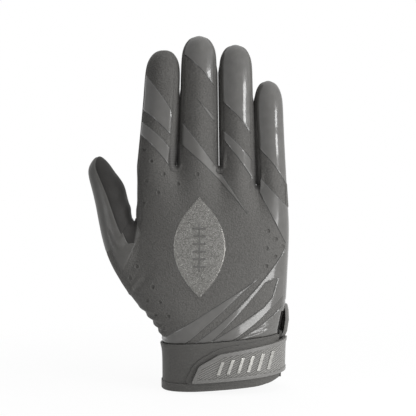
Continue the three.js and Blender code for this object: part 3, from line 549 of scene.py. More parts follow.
def finger_side(finger, z, way):
    """Where a finger's thumb side (-1) or little side (1) is across the hand, at each height."""
    along, middle = finger_middle(finger, z)
    turn = math.radians(finger["turn"])
    wide = (finger["half"] - finger["narrows"] * along) * math.cos(turn)
    return middle[0] + way * np.hypot(wide, finger["depth"] * math.sin(turn))


# Neighbours, the crotch between them, the height where they part, and the gap that is left on each side. The
# push sets in over a few millimetres above the crotch, below the parting and behind the crown of the back,
# and only on the sides that face each other.
PRESSED = [("index", "middle", 145.6, 196, 0.02), ("middle", "ring", 145.6, 212, 0.15),
           ("ring", "little", 132.6, 192, 0.02)]
for near, far, low, high, spare in PRESSED:
    z = points[:, 2]
    meeting = (finger_side(FINGERS[near], z, 1) + finger_side(FINGERS[far], z, -1)) / 2
    pressed = np.clip((z - low + 2) / 5, 0, 1) * np.clip((high - z) / 12, 0, 1)
    for name, way in ((near, 1), (far, -1)):
        deep = np.clip((points[:, 1] - finger_middle(FINGERS[name], z)[1][1] + 2.5) / 3, 0, 1)
        sideways = np.clip((way * normals[:, 0] - 0.45) / 0.5, 0, 1)
        share = deep * pressed * sideways * corners_in(parts == name)
        room = way * (meeting - points[:, 0]) - SWELL * share - spare
        room = (room + np.sqrt(room ** 2 + EASE * share ** 2)) / 2
        points[:, 0] = np.where(share > 0, meeting - way * (room + spare), points[:, 0])
skin.data.vertices.foreach_set("co", (points * MM).ravel())
skin.data.update()
middle_of = read(skin.data.polygons, "center", 3) / MM
print("points of the skin:", len(points))

# %% [markdown]
# ## Cutting pieces out
# A panel is copied from the skin and thickened inwards with a Solidify modifier to the wall of knit, foam
# and coating. The skin could be separated in edit mode instead, but copies leave it whole, and films, cuff
# and strap need the same faces again. Layers that lie over the hand are copied from the plain form, at a
# distance from it.

# %% Copy and thicken
WALL = 1.4
SMOOTH_BELOW, BEVEL_ABOVE = 40, 50  # angles between faces, in degrees


def cut_out(name, chosen, stand_off=None):
    """Copies the chosen faces of the skin, or of the plain form at a distance from it in millimetres."""
    corners = corner_of[chosen[face_of]]
    used, place = np.unique(corners, return_inverse=True)
    counts = corner_count[chosen]
    mesh = bpy.data.meshes.new(name)
    mesh.vertices.add(len(used))
    places = points[used] if stand_off is None else form[used] + stand_off * form_away[used]
    mesh.vertices.foreach_set("co", (places * MM).ravel())
    mesh.loops.add(len(corners))
    mesh.loops.foreach_set("vertex_index", place.astype(np.int32))
    mesh.polygons.add(len(counts))
    mesh.polygons.foreach_set("loop_start", np.concatenate(([0], np.cumsum(counts)[:-1])).astype(np.int32))
    mesh.update(calc_edges=True)
    piece = bpy.data.objects.new(name, mesh)
    bpy.context.collection.objects.link(piece)
    return piece


def thicken(piece, wall, outward=False, round_edge=0.0, steps=2):
    apply_modifier(piece, "SOLIDIFY", thickness=wall * MM, offset=1 if outward else -1)
    if round_edge:
        apply_modifier(piece, "BEVEL", width=round_edge * MM, segments=steps, limit_method="ANGLE",
                       angle_limit=math.radians(BEVEL_ABOVE))
    make_active(piece)
    bpy.ops.object.shade_smooth_by_angle(angle=math.radians(SMOOTH_BELOW))
    return piece


print("wall of the panels, mm:", WALL)

# %% [markdown]
# ### Trimming to an outline
# Films and strap pieces have outlines of their own that cross the pattern. A Boolean with an extruded
# outline could cut them, but it often fails on thin open sheets. Bisect cuts a sheet along a plane and
# always works, so an outline is a convex ring of planes. To cut along a curve, the sheet is bent until the
# curve is straight, cut, and bent back.

# %% Trim helpers
def edges_of(outline):
    """Start, direction, way in, length and bow of each edge of an outline of (x, z) corners, anticlockwise.

    A third number in a corner bows the edge that starts there outwards.
    """
    edges = []
    for here, there in zip(outline, outline[1:] + outline[:1]):
        start, end = Vector((here[0], 0, here[1])) * MM, Vector((there[0], 0, there[1])) * MM
        along = (end - start).normalized()
        edges.append((start, along, Vector((-along.z, 0, along.x)), (end - start).length,
                      here[2] * MM if len(here) > 2 else 0.0))
    return edges


def bowed(place, edge):
    """How far out a bowed edge is at a place beside it."""
    start, along, inward, span, bow = edge
    return bow * (1 - (2 * (place - start).dot(along) / span - 1) ** 2)


def depth_in(place, edges):
    """How far inside an outline a place is, below zero outside it."""
    return min((place - edge[0]).dot(edge[2]) + bowed(place, edge) for edge in edges)


def trim(piece, outline, land=0.0, windows=(), runs_on=False):
    """Cuts a sheet to an outline seen from the back, and windows out of it.

    Returns how far in from an edge each point is, in millimetres, and its normal. The sheet's own border is
    an edge too, unless the sheet runs on past it.
    """
    work = bmesh.new()
    work.from_mesh(piece.data)
    outer, holes = edges_of(outline), [edges_of(window) for window in windows]
    for edges, way in [(outer, 1)] + [(hole, -1) for hole in holes]:
        for edge in edges:
            for vertex in work.verts:
                vertex.co += edge[2] * bowed(vertex.co, edge)
            for inset in (0, land) if land else (0,):
                bmesh.ops.bisect_plane(work, geom=work.verts[:] + work.edges[:] + work.faces[:], dist=1e-7,
                                       plane_co=edge[0] + edge[2] * way * inset * MM, plane_no=edge[2],
                                       clear_inner=way > 0 and inset == 0)
            for vertex in work.verts:
                vertex.co -= edge[2] * bowed(vertex.co, edge)
    for hole in holes:
        inner = [face for face in work.faces if depth_in(face.calc_center_median(), hole) > 0]
        bmesh.ops.delete(work, geom=inner, context="FACES")
    work.normal_update()
    inside = []
    for vertex in work.verts:
        depths = [depth_in(vertex.co, outer)] + [-depth_in(vertex.co, hole) for hole in holes]
        inside.append(0.0 if vertex.is_boundary and not runs_on else min(depths))
    away = [vertex.normal.copy() for vertex in work.verts]
    work.to_mesh(piece.data)
    work.free()
    return np.array(inside) / MM, np.array(away)


print("trim helpers ready")

# %% [markdown]
# ### Films
# A film is pressed on the cloth, so its edge slopes down to it. A bevel would round the edge evenly, but the
# slope has to follow the skin, so each point is raised by its distance from the outline.

# %% Film helpers
FILM_EDGE = 0.04  # height of a film's edge, just clear of the skin
SPARE_CLOTH = 12  # skin copied past a film's corners before it is trimmed


def film(name, chosen, outline, rise=0.42, land=0.6, windows=(), runs_on=False):
    """A thin film moulded on the skin. Its edge slopes up from the skin to the full rise over the land.

    A film that runs on keeps its full rise where the chosen faces end.
    """
    xs, zs = [corner[0] for corner in outline], [corner[1] for corner in outline]
    room = SPARE_CLOTH + max(abs(corner[2]) if len(corner) > 2 else 0 for corner in outline)
    near = (middle_of[:, 0] > min(xs) - room) & (middle_of[:, 0] < max(xs) + room)
    near &= (middle_of[:, 2] > min(zs) - room) & (middle_of[:, 2] < max(zs) + room)
    piece = cut_out(name, chosen & near)
    inside, away = trim(piece, outline, land, windows, runs_on)
    step = np.clip(inside / land, 0, 1)
    height = FILM_EDGE + (rise - FILM_EDGE) * step * step * (3 - 2 * step)
    flat = read(piece.data.vertices, "co", 3)
    piece.data.vertices.foreach_set("co", (flat + height[:, None] * away * MM).ravel())
    # Rim: one at the film's outer edge and zero at the top of its slope. It places the painted shade along
    # the edge.
    piece.data.attributes.new("rim", "FLOAT", "POINT").data.foreach_set("value", 1 - step)
    piece.data.update()
    return thicken(piece, rise)


print("film helpers ready")

# %% [markdown]
# ## Finishes
# Everything is one warm grey, and the glove reads through its surfaces: grained textile that drinks the
# light, moulded film that mirrors the lamps, knit, ribbed rubber and a silver flake print. Painted pictures
# could hold all that, but noise and wave nodes need no unwrapping and stay sharp close up. Each finish is
# one pattern or two on Object coordinates, which give a colour between dark and light, and a relief.

# %% Material helpers
def colour(hex_code):
    """An sRGB hex code as linear red, green, blue and alpha."""
    parts = [int(hex_code[i:i + 2], 16) / 255 for i in (1, 3, 5)]
    return [p / 12.92 if p <= 0.04045 else ((p + 0.055) / 1.055) ** 2.4 for p in parts] + [1.0]


def add_node(tree, kind, settings=None, inputs=None):
    made = tree.nodes.new(kind)
    for name, value in (settings or {}).items():
        setattr(made, name, value)
    for name, value in (inputs or {}).items():
        if isinstance(value, bpy.types.NodeSocket):
            tree.links.new(value, made.inputs[name])
        else:
            made.inputs[name].default_value = value
    return made


def new_material(name, **shader_inputs):
    made = bpy.data.materials.new(name)
    made.use_nodes = True
    tree = made.node_tree
    shader = tree.nodes["Principled BSDF"]
    for key, value in shader_inputs.items():
        shader.inputs[key.replace("_", " ")].default_value = value
    place = tree.nodes.new("ShaderNodeTexCoord").outputs["Object"]
    return made, tree, shader, place


def lay_pattern(tree, shader, pattern, dark, light, span=(0.3, 0.7), relief=None, height=0.0):
    """Colours a finish from dark to light over a span of the pattern, and raises it.

    The height, in millimetres, follows the same pattern, unless a relief of its own is given.
    """
    ramp = add_node(tree, "ShaderNodeValToRGB", inputs={"Fac": pattern})
    for stop, at, code in zip(ramp.color_ramp.elements, span, (dark, light)):
        stop.position, stop.color = at, colour(code)
    tree.links.new(ramp.outputs["Color"], shader.inputs["Base Color"])
    if height:
        raised = pattern if relief is None else relief
        bump = add_node(tree, "ShaderNodeBump",
                        inputs={"Height": raised, "Distance": height * MM, "Strength": 1.0})
        tree.links.new(bump.outputs["Normal"], shader.inputs["Normal"])


def paint_edge_shade(tree, shader, code):
    """Painted shade: a dark line along a film's sloping edge, where its rim attribute is near one."""
    plain = shader.inputs["Base Color"].links[0].from_socket
    rim = add_node(tree, "ShaderNodeAttribute", {"attribute_name": "rim"})
    line = add_node(tree, "ShaderNodeMapRange",
                    inputs={"Value": rim.outputs["Fac"], "From Min": 0.35, "From Max": 0.7})
    mixed = add_node(tree, "ShaderNodeMix", {"data_type": "RGBA"},
                     {0: line.outputs["Result"], 6: plain, 7: colour(code)})
    tree.links.new(mixed.outputs[2], shader.inputs["Base Color"])


MATERIALS = {}
print("material helpers ready")

# %% [markdown]
# ### Textile, film, palm
# The back is a microfibre pressed in a mould with a fine leather grain. The films are urethane on the same
# cloth, and the palm is tacky silicone. They differ in shine more than in colour, so roughness comes first.

# %% Textile, film and palm
# Microfibre: a dull warm grey with a grain that shows in light from the side. The real grain is about half
# as coarse, and is drawn at one millimetre so that it shows.
made, tree, shader, place = new_material("moulded_microfibre", Roughness=0.62, Specular_IOR_Level=0.2)
grain = add_node(tree, "ShaderNodeTexNoise", inputs={"Vector": place, "Scale": 1 / (1.0 * MM), "Detail": 2.0})
cloud = add_node(tree, "ShaderNodeTexNoise", inputs={"Vector": place, "Scale": 1 / (14 * MM), "Detail": 3.0})
both = add_node(tree, "ShaderNodeMix", inputs={0: 0.85, 2: cloud.outputs["Fac"], 3: grain.outputs["Fac"]})
lay_pattern(tree, shader, both.outputs[0], "#535250", "#656462", relief=grain.outputs["Fac"], height=0.5)
MATERIALS["matte_textile"] = made

# Urethane film: smooth and a shade lighter, with the slow waves of a poured skin, and a dark line of painted
# shade along its sloping edge, where the step down to the cloth would be in shadow. The gloss has a clear
# coat that mirrors the lamps, and the satin only glows.
for slot_name, name, rough, shine, coat, dark, light in (
        ("gloss_film", "gloss_urethane_film", 0.22, 0.35, 0.5, "#5a5957", "#605f5d"),
        # The satin is a shade lighter than the gloss, as painted reflection in place of the white room that
        # the coat mirrors
        ("satin_film", "satin_urethane_film", 0.45, 0.45, 0.0, "#5e5d5b", "#646361")):
    made, tree, shader, place = new_material(name, Roughness=rough, Specular_IOR_Level=shine,
                                             Coat_Weight=coat, Coat_Roughness=0.05)
    peel = add_node(tree, "ShaderNodeTexNoise",
                    inputs={"Vector": place, "Scale": 1 / (5 * MM), "Detail": 2.0})
    lay_pattern(tree, shader, peel.outputs["Fac"], dark, light, height=0.06)
    # A dark line of painted shade along the film's edge, where its step would be in shadow
    paint_edge_shade(tree, shader, "#30302f")
    MATERIALS[slot_name] = made

# Microfibre ironed smooth by the mould, on the thumb: darker, with a soft sheen along its curve
made, tree, shader, place = new_material("satin_microfibre", Roughness=0.4, Specular_IOR_Level=0.45)
cloud = add_node(tree, "ShaderNodeTexNoise", inputs={"Vector": place, "Scale": 1 / (6 * MM), "Detail": 3.0})
lay_pattern(tree, shader, cloud.outputs["Fac"], "#4b4a48", "#545351", height=0.08)
MATERIALS["satin"] = made

# Silicone printed on the palm: darker than the cloth, with a pebble that keeps it from shining. A real
# pebble is about half this size, and is drawn coarser so that it shows.
made, tree, shader, place = new_material("tacky_silicone_palm", Roughness=0.55, Specular_IOR_Level=0.15)
cells = add_node(tree, "ShaderNodeTexVoronoi", inputs={"Vector": place, "Scale": 1 / (1.6 * MM)})
cloud = add_node(tree, "ShaderNodeTexNoise", inputs={"Vector": place, "Scale": 1 / (18 * MM), "Detail": 3.0})
lay_pattern(tree, shader, cloud.outputs["Fac"], "#343332", "#3e3d3c", relief=cells.outputs["Distance"],
            height=0.06)
MATERIALS["grip_palm"] = made
print("materials:", list(MATERIALS))

# %% [markdown]
# ### Knit and rubber
# Fourchettes are a stretch knit with fine courses, and the cuff is a smoother knit over neoprene. The strap
# is moulded rubber with a hatched inlay. Courses and hatching repeat evenly, so they are Wave textures.

# %% Knit and rubber
WAVE = 0.314  # length of one wave of a Wave texture at scale one
# Knit: soft and dull, with level courses under a little fuzz. Real courses are about half as far apart, and
# both are drawn coarser so that they show.
for slot_name, name, dark, light, pitch, depth, rough in (
        ("side_knit", "stretch_knit", "#4a4948", "#5c5b59", 1.1, 0.14, 0.8),
        ("cuff_knit", "neoprene_cuff_knit", "#464544", "#53524f", 0.9, 0.1, 0.7)):
    made, tree, shader, place = new_material(name, Roughness=rough, Sheen_Weight=0.15, Sheen_Roughness=0.4)
    course = add_node(tree, "ShaderNodeTexWave", {"bands_direction": "Z"},
                      {"Vector": place, "Scale": WAVE / (pitch * MM), "Distortion": 0.6, "Detail": 1.0})
    fuzz = add_node(tree, "ShaderNodeTexNoise", inputs={"Vector": place, "Scale": 1 / (0.9 * MM)})
    mixed = add_node(tree, "ShaderNodeMath", {"operation": "MULTIPLY_ADD"},
                     {0: course.outputs["Fac"], 1: 0.5, 2: fuzz.outputs["Fac"]})
    lay_pattern(tree, shader, mixed.outputs[0], dark, light, span=(0.4, 1.0), height=depth)
    MATERIALS[slot_name] = made

# Moulded rubber: a lighter grey with broad soft highlights, and a faint speckle from the blasted mould,
# which is drawn about three times as coarse so that it shows. The grey is partly the rubber's own and partly
# painted light: it is drawn lighter so that the front edge of the strap's anchor, which gets little lamp
# light, doesn't go dark.
made, tree, shader, place = new_material("moulded_rubber", Roughness=0.42)
speck = add_node(tree, "ShaderNodeTexNoise", inputs={"Vector": place, "Scale": 1 / (0.7 * MM), "Detail": 2.0})
lay_pattern(tree, shader, speck.outputs["Fac"], "#666563", "#747371", height=0.06)
MATERIALS["strap_rubber"] = made

# Hatched rubber: fine slanting ridges, with painted highlight on their tops and painted shade in the grooves
# between
made, tree, shader, place = new_material("hatched_rubber", Roughness=0.45)
slant = add_node(tree, "ShaderNodeMapping", inputs={"Vector": place, "Rotation": (0, math.radians(28), 0)})
hatch = add_node(tree, "ShaderNodeTexWave", {"bands_direction": "Z"},
                 {"Vector": slant.outputs["Vector"], "Scale": WAVE / (1.3 * MM), "Distortion": 0.0})
lay_pattern(tree, shader, hatch.outputs["Fac"], "#62615f", "#82817e", height=0.3)
MATERIALS["inlay_rubber"] = made
print("materials:", len(MATERIALS))

# %% [markdown]
# ### Pile and silver
# The closure is woven hook and loop, the emblem is printed with metal flake, and the bars on the strap are
# brighter foil. Tufts and flakes are cells of a Voronoi texture, each with its own height or colour.

# %% Pile and silver
# Pile: nearly black, with tufts that only show at the edges, where they catch the light. Each tuft is painted
# lighter in its raised middle and darker towards the hollows between tufts, as painted light and shade.
made, tree, shader, place = new_material("hook_and_loop_pile", Roughness=0.95, Sheen_Weight=0.4)
tuft = add_node(tree, "ShaderNodeTexVoronoi", inputs={"Vector": place, "Scale": 1 / (1.1 * MM)})
lay_pattern(tree, shader, tuft.outputs["Distance"], "#3a3a39", "#232323", span=(0.0, 0.8), height=-0.5)
MATERIALS["pile"] = made

# Flake print: every flake has its own shade and height, so the emblem glitters. Real flakes are a quarter of
# this size, and are drawn coarser so that they show.
made, tree, shader, place = new_material("silver_flake_print", Roughness=0.26, Metallic=0.8)
flake = add_node(tree, "ShaderNodeTexVoronoi", inputs={"Vector": place, "Scale": 1 / (0.45 * MM)})
lay_pattern(tree, shader, flake.outputs["Color"], "#62615e", "#8f8e8b", span=(0.15, 0.85), height=0.22)
MATERIALS["silver_flake"] = made

# Foil print: an even bright silver, a little rubbed
made, tree, shader, place = new_material("bright_silver_print", Roughness=0.3, Metallic=0.6)
wear = add_node(tree, "ShaderNodeTexNoise", inputs={"Vector": place, "Scale": 1 / (1.5 * MM), "Detail": 2.0})
lay_pattern(tree, shader, wear.outputs["Fac"], "#94938f", "#b2b1ad")
MATERIALS["silver_print"] = made
print("materials:", len(MATERIALS))

# %% [markdown]
# ## Sewn panels of the hand
# The back and the palm each take in the lower part of the fingers. Fourchettes are the narrow strips between
# fingers, and edge strips close the outer sides of the index and the little finger. Each panel could be a
# surface of its own, but panels cut from one skin meet along their seams without gaps.

# %% Hand panels
SLIT_TOP = 49.5  # height at which the opening of the cuff ends
panels = [
    ("hand_back", on_back, "matte_textile", "back_panel"),
    ("hand_palm", on_palm, "grip_palm", "palm_panel"),
    ("fourchette_1", fourchettes[0], "side_knit", "fourchette_index_middle"),
    ("fourchette_2", fourchettes[1], "side_knit", "fourchette_middle_ring"),
    ("fourchette_3", fourchettes[2], "side_knit", "fourchette_ring_little"),
    ("index_edge", index_edge, "side_knit", "index_edge_strip"),
    ("little_edge", little_edge | slit, "gloss_film", "little_edge_strip"),
    ("thumb_base", on_thumb & ~thumb_ball, "matte_textile", "thumb_root"),
    ("thumb_ball", thumb_ball, "grip_palm"),
]


def dress(piece, slot_name, *nodes, finish=None):
    """Gives a piece the material of its finish, or of its slot if no finish is named, and hides the solids it
    replaces.
    """
    piece.data.materials.clear()
    piece.data.materials.append(MATERIALS[finish or slot_name])
    if nodes:
        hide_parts(*nodes)
    return piece


for name, chosen, slot_name, *nodes in panels:
    piece = cut_out(name, chosen & ~in_stall)
    if name == "little_edge":
        trim(piece, [(20, SLIT_TOP), (60, SLIT_TOP), (60, 200), (20, 200)])
    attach(dress(thicken(piece, WALL), slot_name, *nodes), "hand")
print("hand panels:", len(panels))

# %% [markdown]
# ## Stalls
# From the flex lines up, each finger's cloth is cut as pieces of its own, one for each side of the stall.
# They keep their place on the skin, which rounds the knuckle as a filled glove does.


def bend_with(piece):
    """Bakes the piece's place into its mesh."""
    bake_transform(piece)


STALL_SIDES = [
    ("back", "matte_textile", "back", None),
    ("palm", "grip_palm", "palm", None),
    ("thumb", "side_knit", "thumb_side", "matte_textile"),
    ("little", "side_knit", "little_side", "matte_textile"),
]
for name in FINGERS:
    for side, slot_name, label, finish in STALL_SIDES:
        chosen = (parts == name) & (sides == side) & in_stall
        piece = thicken(cut_out(f"{name}_stall_{label}", chosen), WALL)
        nodes = [f"{name}_{label}"] + ([f"{name}_flex_sleeve"] if side == "back" else [])
        if name == side == "little":
            finish = "gloss_film"
        bend_with(dress(piece, slot_name, *nodes, finish=finish))
outer = thicken(cut_out("thumb_stall_outer", on_thumb & in_stall & (sides == "outer")), WALL)
bend_with(dress(outer, "matte_textile", "thumb_back", "thumb_flex_sleeve", finish="satin"))
inner = thicken(cut_out("thumb_stall_inner", thumb_inner), WALL)
bend_with(dress(inner, "grip_palm", "thumb_palm"))
print("stall pieces:", len(STALL_SIDES) * len(FINGERS) + 2)

# %% [markdown]
# ## Gloss films
# The films are moulded urethane, cut on slanting curves. They could be colours on the skin, but a film of
# its own has a clean edge, a step and its own shine. The third number of a corner bows the edge that starts
# there.

# %% Films on the fingers
OVERHANG = 3  # a band's outline reaches this far past the sides of its finger
PAST_TIP = 60  # and this far past the tip, if it has no upper edge


def band(finger, top, top_drop, bottom, drop, bow, top_bow=2):
    """The outline of a slanting band across a finger.

    Its edges cross the middle of the finger this far below the tip. They drop this much for each millimetre
    towards the little side, and they bow. A band without a top covers the tip.
    """
    x = finger_middle(finger, finger["top"] - bottom)[1][0]
    half, tip = finger["half"] + OVERHANG, finger["top"]
    lower = [(x - half, tip - bottom + half * drop, -bow), (x + half, tip - bottom - half * drop)]
    if top is None:
        return lower + [(x + half, tip + PAST_TIP), (x - half, tip + PAST_TIP)]
    return lower + [(x + half, tip - top - half * top_drop, top_bow), (x - half, tip - top + half * top_drop)]


FINGER_FILMS = [
    ("index", "index_film_upper", "index_gloss_band", (30.5, 1.4, 51.8, 1.0, 2.7)),
    ("index", "index_film_lower", "index_lower_band", (59.1, 0.97, 70.2, 1.2, 2.9, 3.4)),
    ("middle", "middle_film_tip", "middle_gloss_tip", (None, 0, 26.5, 1.14, 4)),
    ("ring", "ring_film_tip", "ring_gloss_tip", (None, 0, 51.4, 1.2, 3.3)),
    ("ring", "ring_film_lower", "ring_lower_band", (67.5, 1.05, 77, 1.37, 1.7)),
    ("little", "little_film_tip", "little_gloss_tip", (None, 0, 58.6, 1.38, 2.8)),
]
for name, label, node, sizes in FINGER_FILMS:
    piece = film(label, (parts == name) & (sides == "back"), band(FINGERS[name], *sizes))
    bend_with(dress(piece, "gloss_film", node))
# The knuckle film runs from the middle finger down to the ring finger's root, and a thin wedge lies above it
slash = [(-30, 161.6, -2.2), (15.4, 114.4), (15.9, 114.9, 1.1), (-30, 178.6)]
piece = film("middle_film_slash", on_back & (in_hand | (parts == "middle") | (parts == "ring")), slash)
bend_with(dress(piece, "gloss_film", "middle_lower_band", "knuckle_slash", finish="satin_film"))
wedge = [(-17.5, 189.8), (-1.5, 168.4), (-1.5, 173, 0.5)]
piece = film("middle_film_wedge", (parts == "middle") & (sides == "back"), wedge, rise=0.3)
bend_with(dress(piece, "gloss_film", finish="satin_film"))
print("finger films:", len(FINGER_FILMS) + 2)

# %% [markdown]
# ### Films on the hand
# Wedges fan out from the cuff to the little side, and two larger films wrap the edge of the hand. The sweep
# is one film with two windows, because its wedges run together at the edge. A matte band on the little side
# carries the finger's own band on round the edge.

# %% Films on the hand
CUFF_TOP = 31.64  # outlines of these films are measured up from the top of the cuff
HAND_FILMS = [
    ("little_film_root", ["little_root_gloss"],
     [(24.5, 106.5), (23.8, 96.5), (32, 80.5), (46, 53), (46, 83)], []),
    ("wrist_film_slash", ["wrist_slash_a"],
     [(-45, -3), (-26.2, -3.3, 0.5), (22.9, 40.6, -0.2), (-39.9, 0.6)], []),
    ("wrist_film_sweep", ["wrist_slash_b", "wrist_slash_c", "wrist_slash_d", "little_edge_gloss"],
     [(-22.8, -4), (46, -4), (45.2, 66.3, -5.2)],
     [[(-7, 0.6, 0.3), (26.4, 21.9), (31.9, 28.1), (35.7, 40.1), (27.6, 37.5, -1.2), (-7, 0.8)],
      [(4.3, -0.4), (9.1, 1.2, 1.4), (46.5, 28.2), (46.4, 37.3, -2.9)]]),
]


def above_cuff(outline):
    return [(corner[0], corner[1] + CUFF_TOP, *corner[2:]) for corner in outline]


for label, nodes, outline, windows in HAND_FILMS:
    piece = film(label, on_back, above_cuff(outline), windows=[above_cuff(window) for window in windows])
    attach(dress(piece, "gloss_film", *nodes), "hand")
side_band = [(30, 132.4), (52, 108.3), (52, 119.5, 0.6), (30, 149.5)]
piece = film("little_side_band", little_edge & ~in_stall, side_band, rise=0.3, runs_on=True)
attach(dress(piece, "matte_textile"), "hand")
print("hand films:", len(HAND_FILMS) + 1)

# %% [markdown]
# ### Thumb film
# A satin patch covers the root of the thumb, and the end of the grip palm wraps round into it. The patch has
# a window there, so that the two lie side by side as on a sewn glove.

# %% Thumb film
flash = [(-75.8, 87.5), (-67.9, 73), (-54.3, 101.5), (-56.8, 107.5), (-74.3, 101)]
beside_thumb = (on_thumb & (zones == "root") & (column_of <= 2)) | (in_hand & (sides == "back")) | index_edge
grip_end = [(-72.3, 109.6), (-63.7, 96), (-63, 94.5), (-59, 95), (-57, 108), (-60, 116)]
piece = film("thumb_film", beside_thumb & ~in_stall, flash, windows=[grip_end])
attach(dress(piece, "gloss_film", "thumb_flash", finish="satin"), "hand")
on_grip_end = on_thumb & (zones == "root") & (column_of <= 3)
piece = film("thumb_grip_end", on_grip_end, grip_end, rise=0.3, land=0.3, runs_on=True)
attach(dress(piece, "grip_palm"), "hand")
print("thumb films: 2")

# %% [markdown]
# ### Emblem
# A football of silver flake is printed on the back of the hand, with raised laces. Its outline is two bowed
# edges, and the laces are narrow films that stand a little higher.

# %% Emblem
OVAL_X, OVAL_Z, OVAL_HIGH, OVAL_WIDE = -15.5, CUFF_TOP + 61, 66, 34
LACES, LACE_PITCH, LACE_WIDE, LACE_LINE, LACE_ROW = 6, 5, 9, 1.6, 32
LACE_LAND = 0.4  # width of the sloping edge of a lace
oval = [(OVAL_X, OVAL_Z - OVAL_HIGH / 2, OVAL_WIDE / 2), (OVAL_X, OVAL_Z + OVAL_HIGH / 2, OVAL_WIDE / 2)]
piece = film("emblem", on_back, oval, rise=0.45)
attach(dress(piece, "silver_flake", "emblem_film"), "hand")


def bar(x, z, wide, high):
    left, right, low, top = x - wide / 2, x + wide / 2, z - high / 2, z + high / 2
    return [(left, low), (right, low), (right, top), (left, top)]


def join(pieces, name):
    make_active(pieces[0])
    for piece in pieces:
        piece.select_set(True)
    bpy.ops.object.join()
    pieces[0].name = name
    return pieces[0]


laces = [film("lace_0", on_back, bar(OVAL_X, OVAL_Z, LACE_LINE, LACE_ROW), rise=0.75, land=LACE_LAND)]
lowest = OVAL_Z - LACE_PITCH * (LACES - 1) / 2
for k in range(LACES):
    outline = bar(OVAL_X, lowest + LACE_PITCH * k, LACE_WIDE, LACE_LINE)
    laces.append(film(f"lace_{k + 1}", on_back, outline, rise=0.85, land=LACE_LAND))
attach(dress(join(laces, "emblem_laces"), "gloss_film"), "hand")
print("laces:", len(laces))

# %% [markdown]
# ## Cuff
# The cuff is a knit tube over the wrist with a thicker hem, open at the little side. It is copied from the
# plain form, because it has no seams or creases of its own. A lining inside its upper half closes the slit
# between the cuff and the hand.

# %% Cuff
# How far each layer stands off the plain form, and how thick it is
HEM, TUBE, LINING = (0.35, 2.5), (0.3, 1.9), (-0.35, 0.9)
around = in_wrist & (sides != "little_back")
hem = cut_out("hem_roll", around & (zones == "0"), HEM[0])
thicken(hem, HEM[1], outward=True, round_edge=1.1, steps=4)
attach(dress(hem, "cuff_knit", "cuff_hem"), "hand")
tube = cut_out("cuff_tube", around & (zones != "0"), TUBE[0])
thicken(tube, TUBE[1], outward=True, round_edge=1.3, steps=4)
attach(dress(tube, "cuff_knit", "cuff_band"), "hand")
lining = thicken(cut_out("cuff_lining", around & (zones == "2"), LINING[0]), LINING[1])
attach(dress(lining, "cuff_knit"), "hand")
print("cuff pieces: 3")

# %% [markdown]
# ## Strap
# The strap is sewn to the palm side of the cuff, crosses the opening and lands on the back, where a pad
# frames it. A moulded rim holds a hatched inlay with six silver bars. All its layers are cut from the plain
# form at their own stand-off, so that they lie round the wrist.

# %% Strap outline
STRAP_LOW, STRAP_HIGH = (6.87, 0.0852), (24.92, 0.1706)  # height of an edge at x = 0, and its slope
STRAP_END, STRAP_PAST = -20.5, 60  # the free end, and a place past the turn at the little side
CORNER_STEPS = 4  # short edges in a rounded corner
BEVEL_TOP, BEVEL_SIDE, END_HIGH = -2.5, -15.8, 11.3  # where the bevel of the free end starts and ends


def strap_low(x):
    return STRAP_LOW[0] + STRAP_LOW[1] * x


def strap_high(x):
    return STRAP_HIGH[0] + STRAP_HIGH[1] * x


def strap_outline(margin):
    """The strap's outline with its bevelled free end, moved in by a margin."""
    corners = [(STRAP_END, strap_low(STRAP_END)), (STRAP_PAST, strap_low(STRAP_PAST)),
               (STRAP_PAST, strap_high(STRAP_PAST)), (BEVEL_TOP, strap_high(BEVEL_TOP)),
               (BEVEL_SIDE, strap_low(STRAP_END) + END_HIGH)]
    moved = []
    for i, corner in enumerate(corners):
        before = Vector(corner) - Vector(corners[i - 1])
        after = Vector(corners[(i + 1) % len(corners)]) - Vector(corner)
        before, after = before.normalized(), after.normalized()
        way = Vector((-before.y - after.y, before.x + after.x)) * margin / (1 + before.dot(after))
        moved.append(tuple(Vector(corner) + way))
    return moved


def rounded(corners, radius):
    """An outline whose corners are rounded by short edges."""
    outline = []
    for before, here, after in zip(corners[-1:] + corners[:-1], corners, corners[1:] + corners[:1]):
        here = Vector(here)
        start = here + (Vector(before) - here).normalized() * radius
        end = here + (Vector(after) - here).normalized() * radius
        for t in np.linspace(0, 1, CORNER_STEPS + 1):
            outline.append(tuple(start * (1 - t) ** 2 + here * 2 * t * (1 - t) + end * t ** 2))
    return outline


print("strap is", round(strap_high(0) - strap_low(0), 1), "mm high at its middle")

# %% [markdown]
# ### Strap layers
# From the cuff outwards: landing pad, webbing, inlay plate, rim and bars. The inlay reaches a little way
# under the rim, as a plate that is welded in.

# %% Strap layers
# Stand-off and thickness, as for the cuff
PAD, WEB, INLAY, RIM, RIB = (1.9, 1.25), (3.25, 1.3), (4.4, 1.0), (4.4, 1.4), (5.2, 0.75)
LEDGE, LEDGE_LOW, LEDGE_END = 3.2, 4, 33.5  # the pad shows this far round the strap, and ends at the opening
RIM_WIDE, INLAY_MARGIN, STRAP_ROUND = 2.2, 2.0, 1.6
RIBS, RIB_START, RIB_PITCH, RIB_WIDE, RIB_SLANT, RIB_MARGIN = 6, -4.5, 6.5, 2, 3.2, 4.8
over_wrist = in_wrist & np.isin(sides, ["back", "little_back"])


def strap_piece(name, layer, outline, round_edge, steps=3):
    stand_off, wall = layer
    piece = cut_out(name, over_wrist, stand_off)
    trim(piece, outline)
    return thicken(piece, wall, outward=True, round_edge=round_edge, steps=steps)


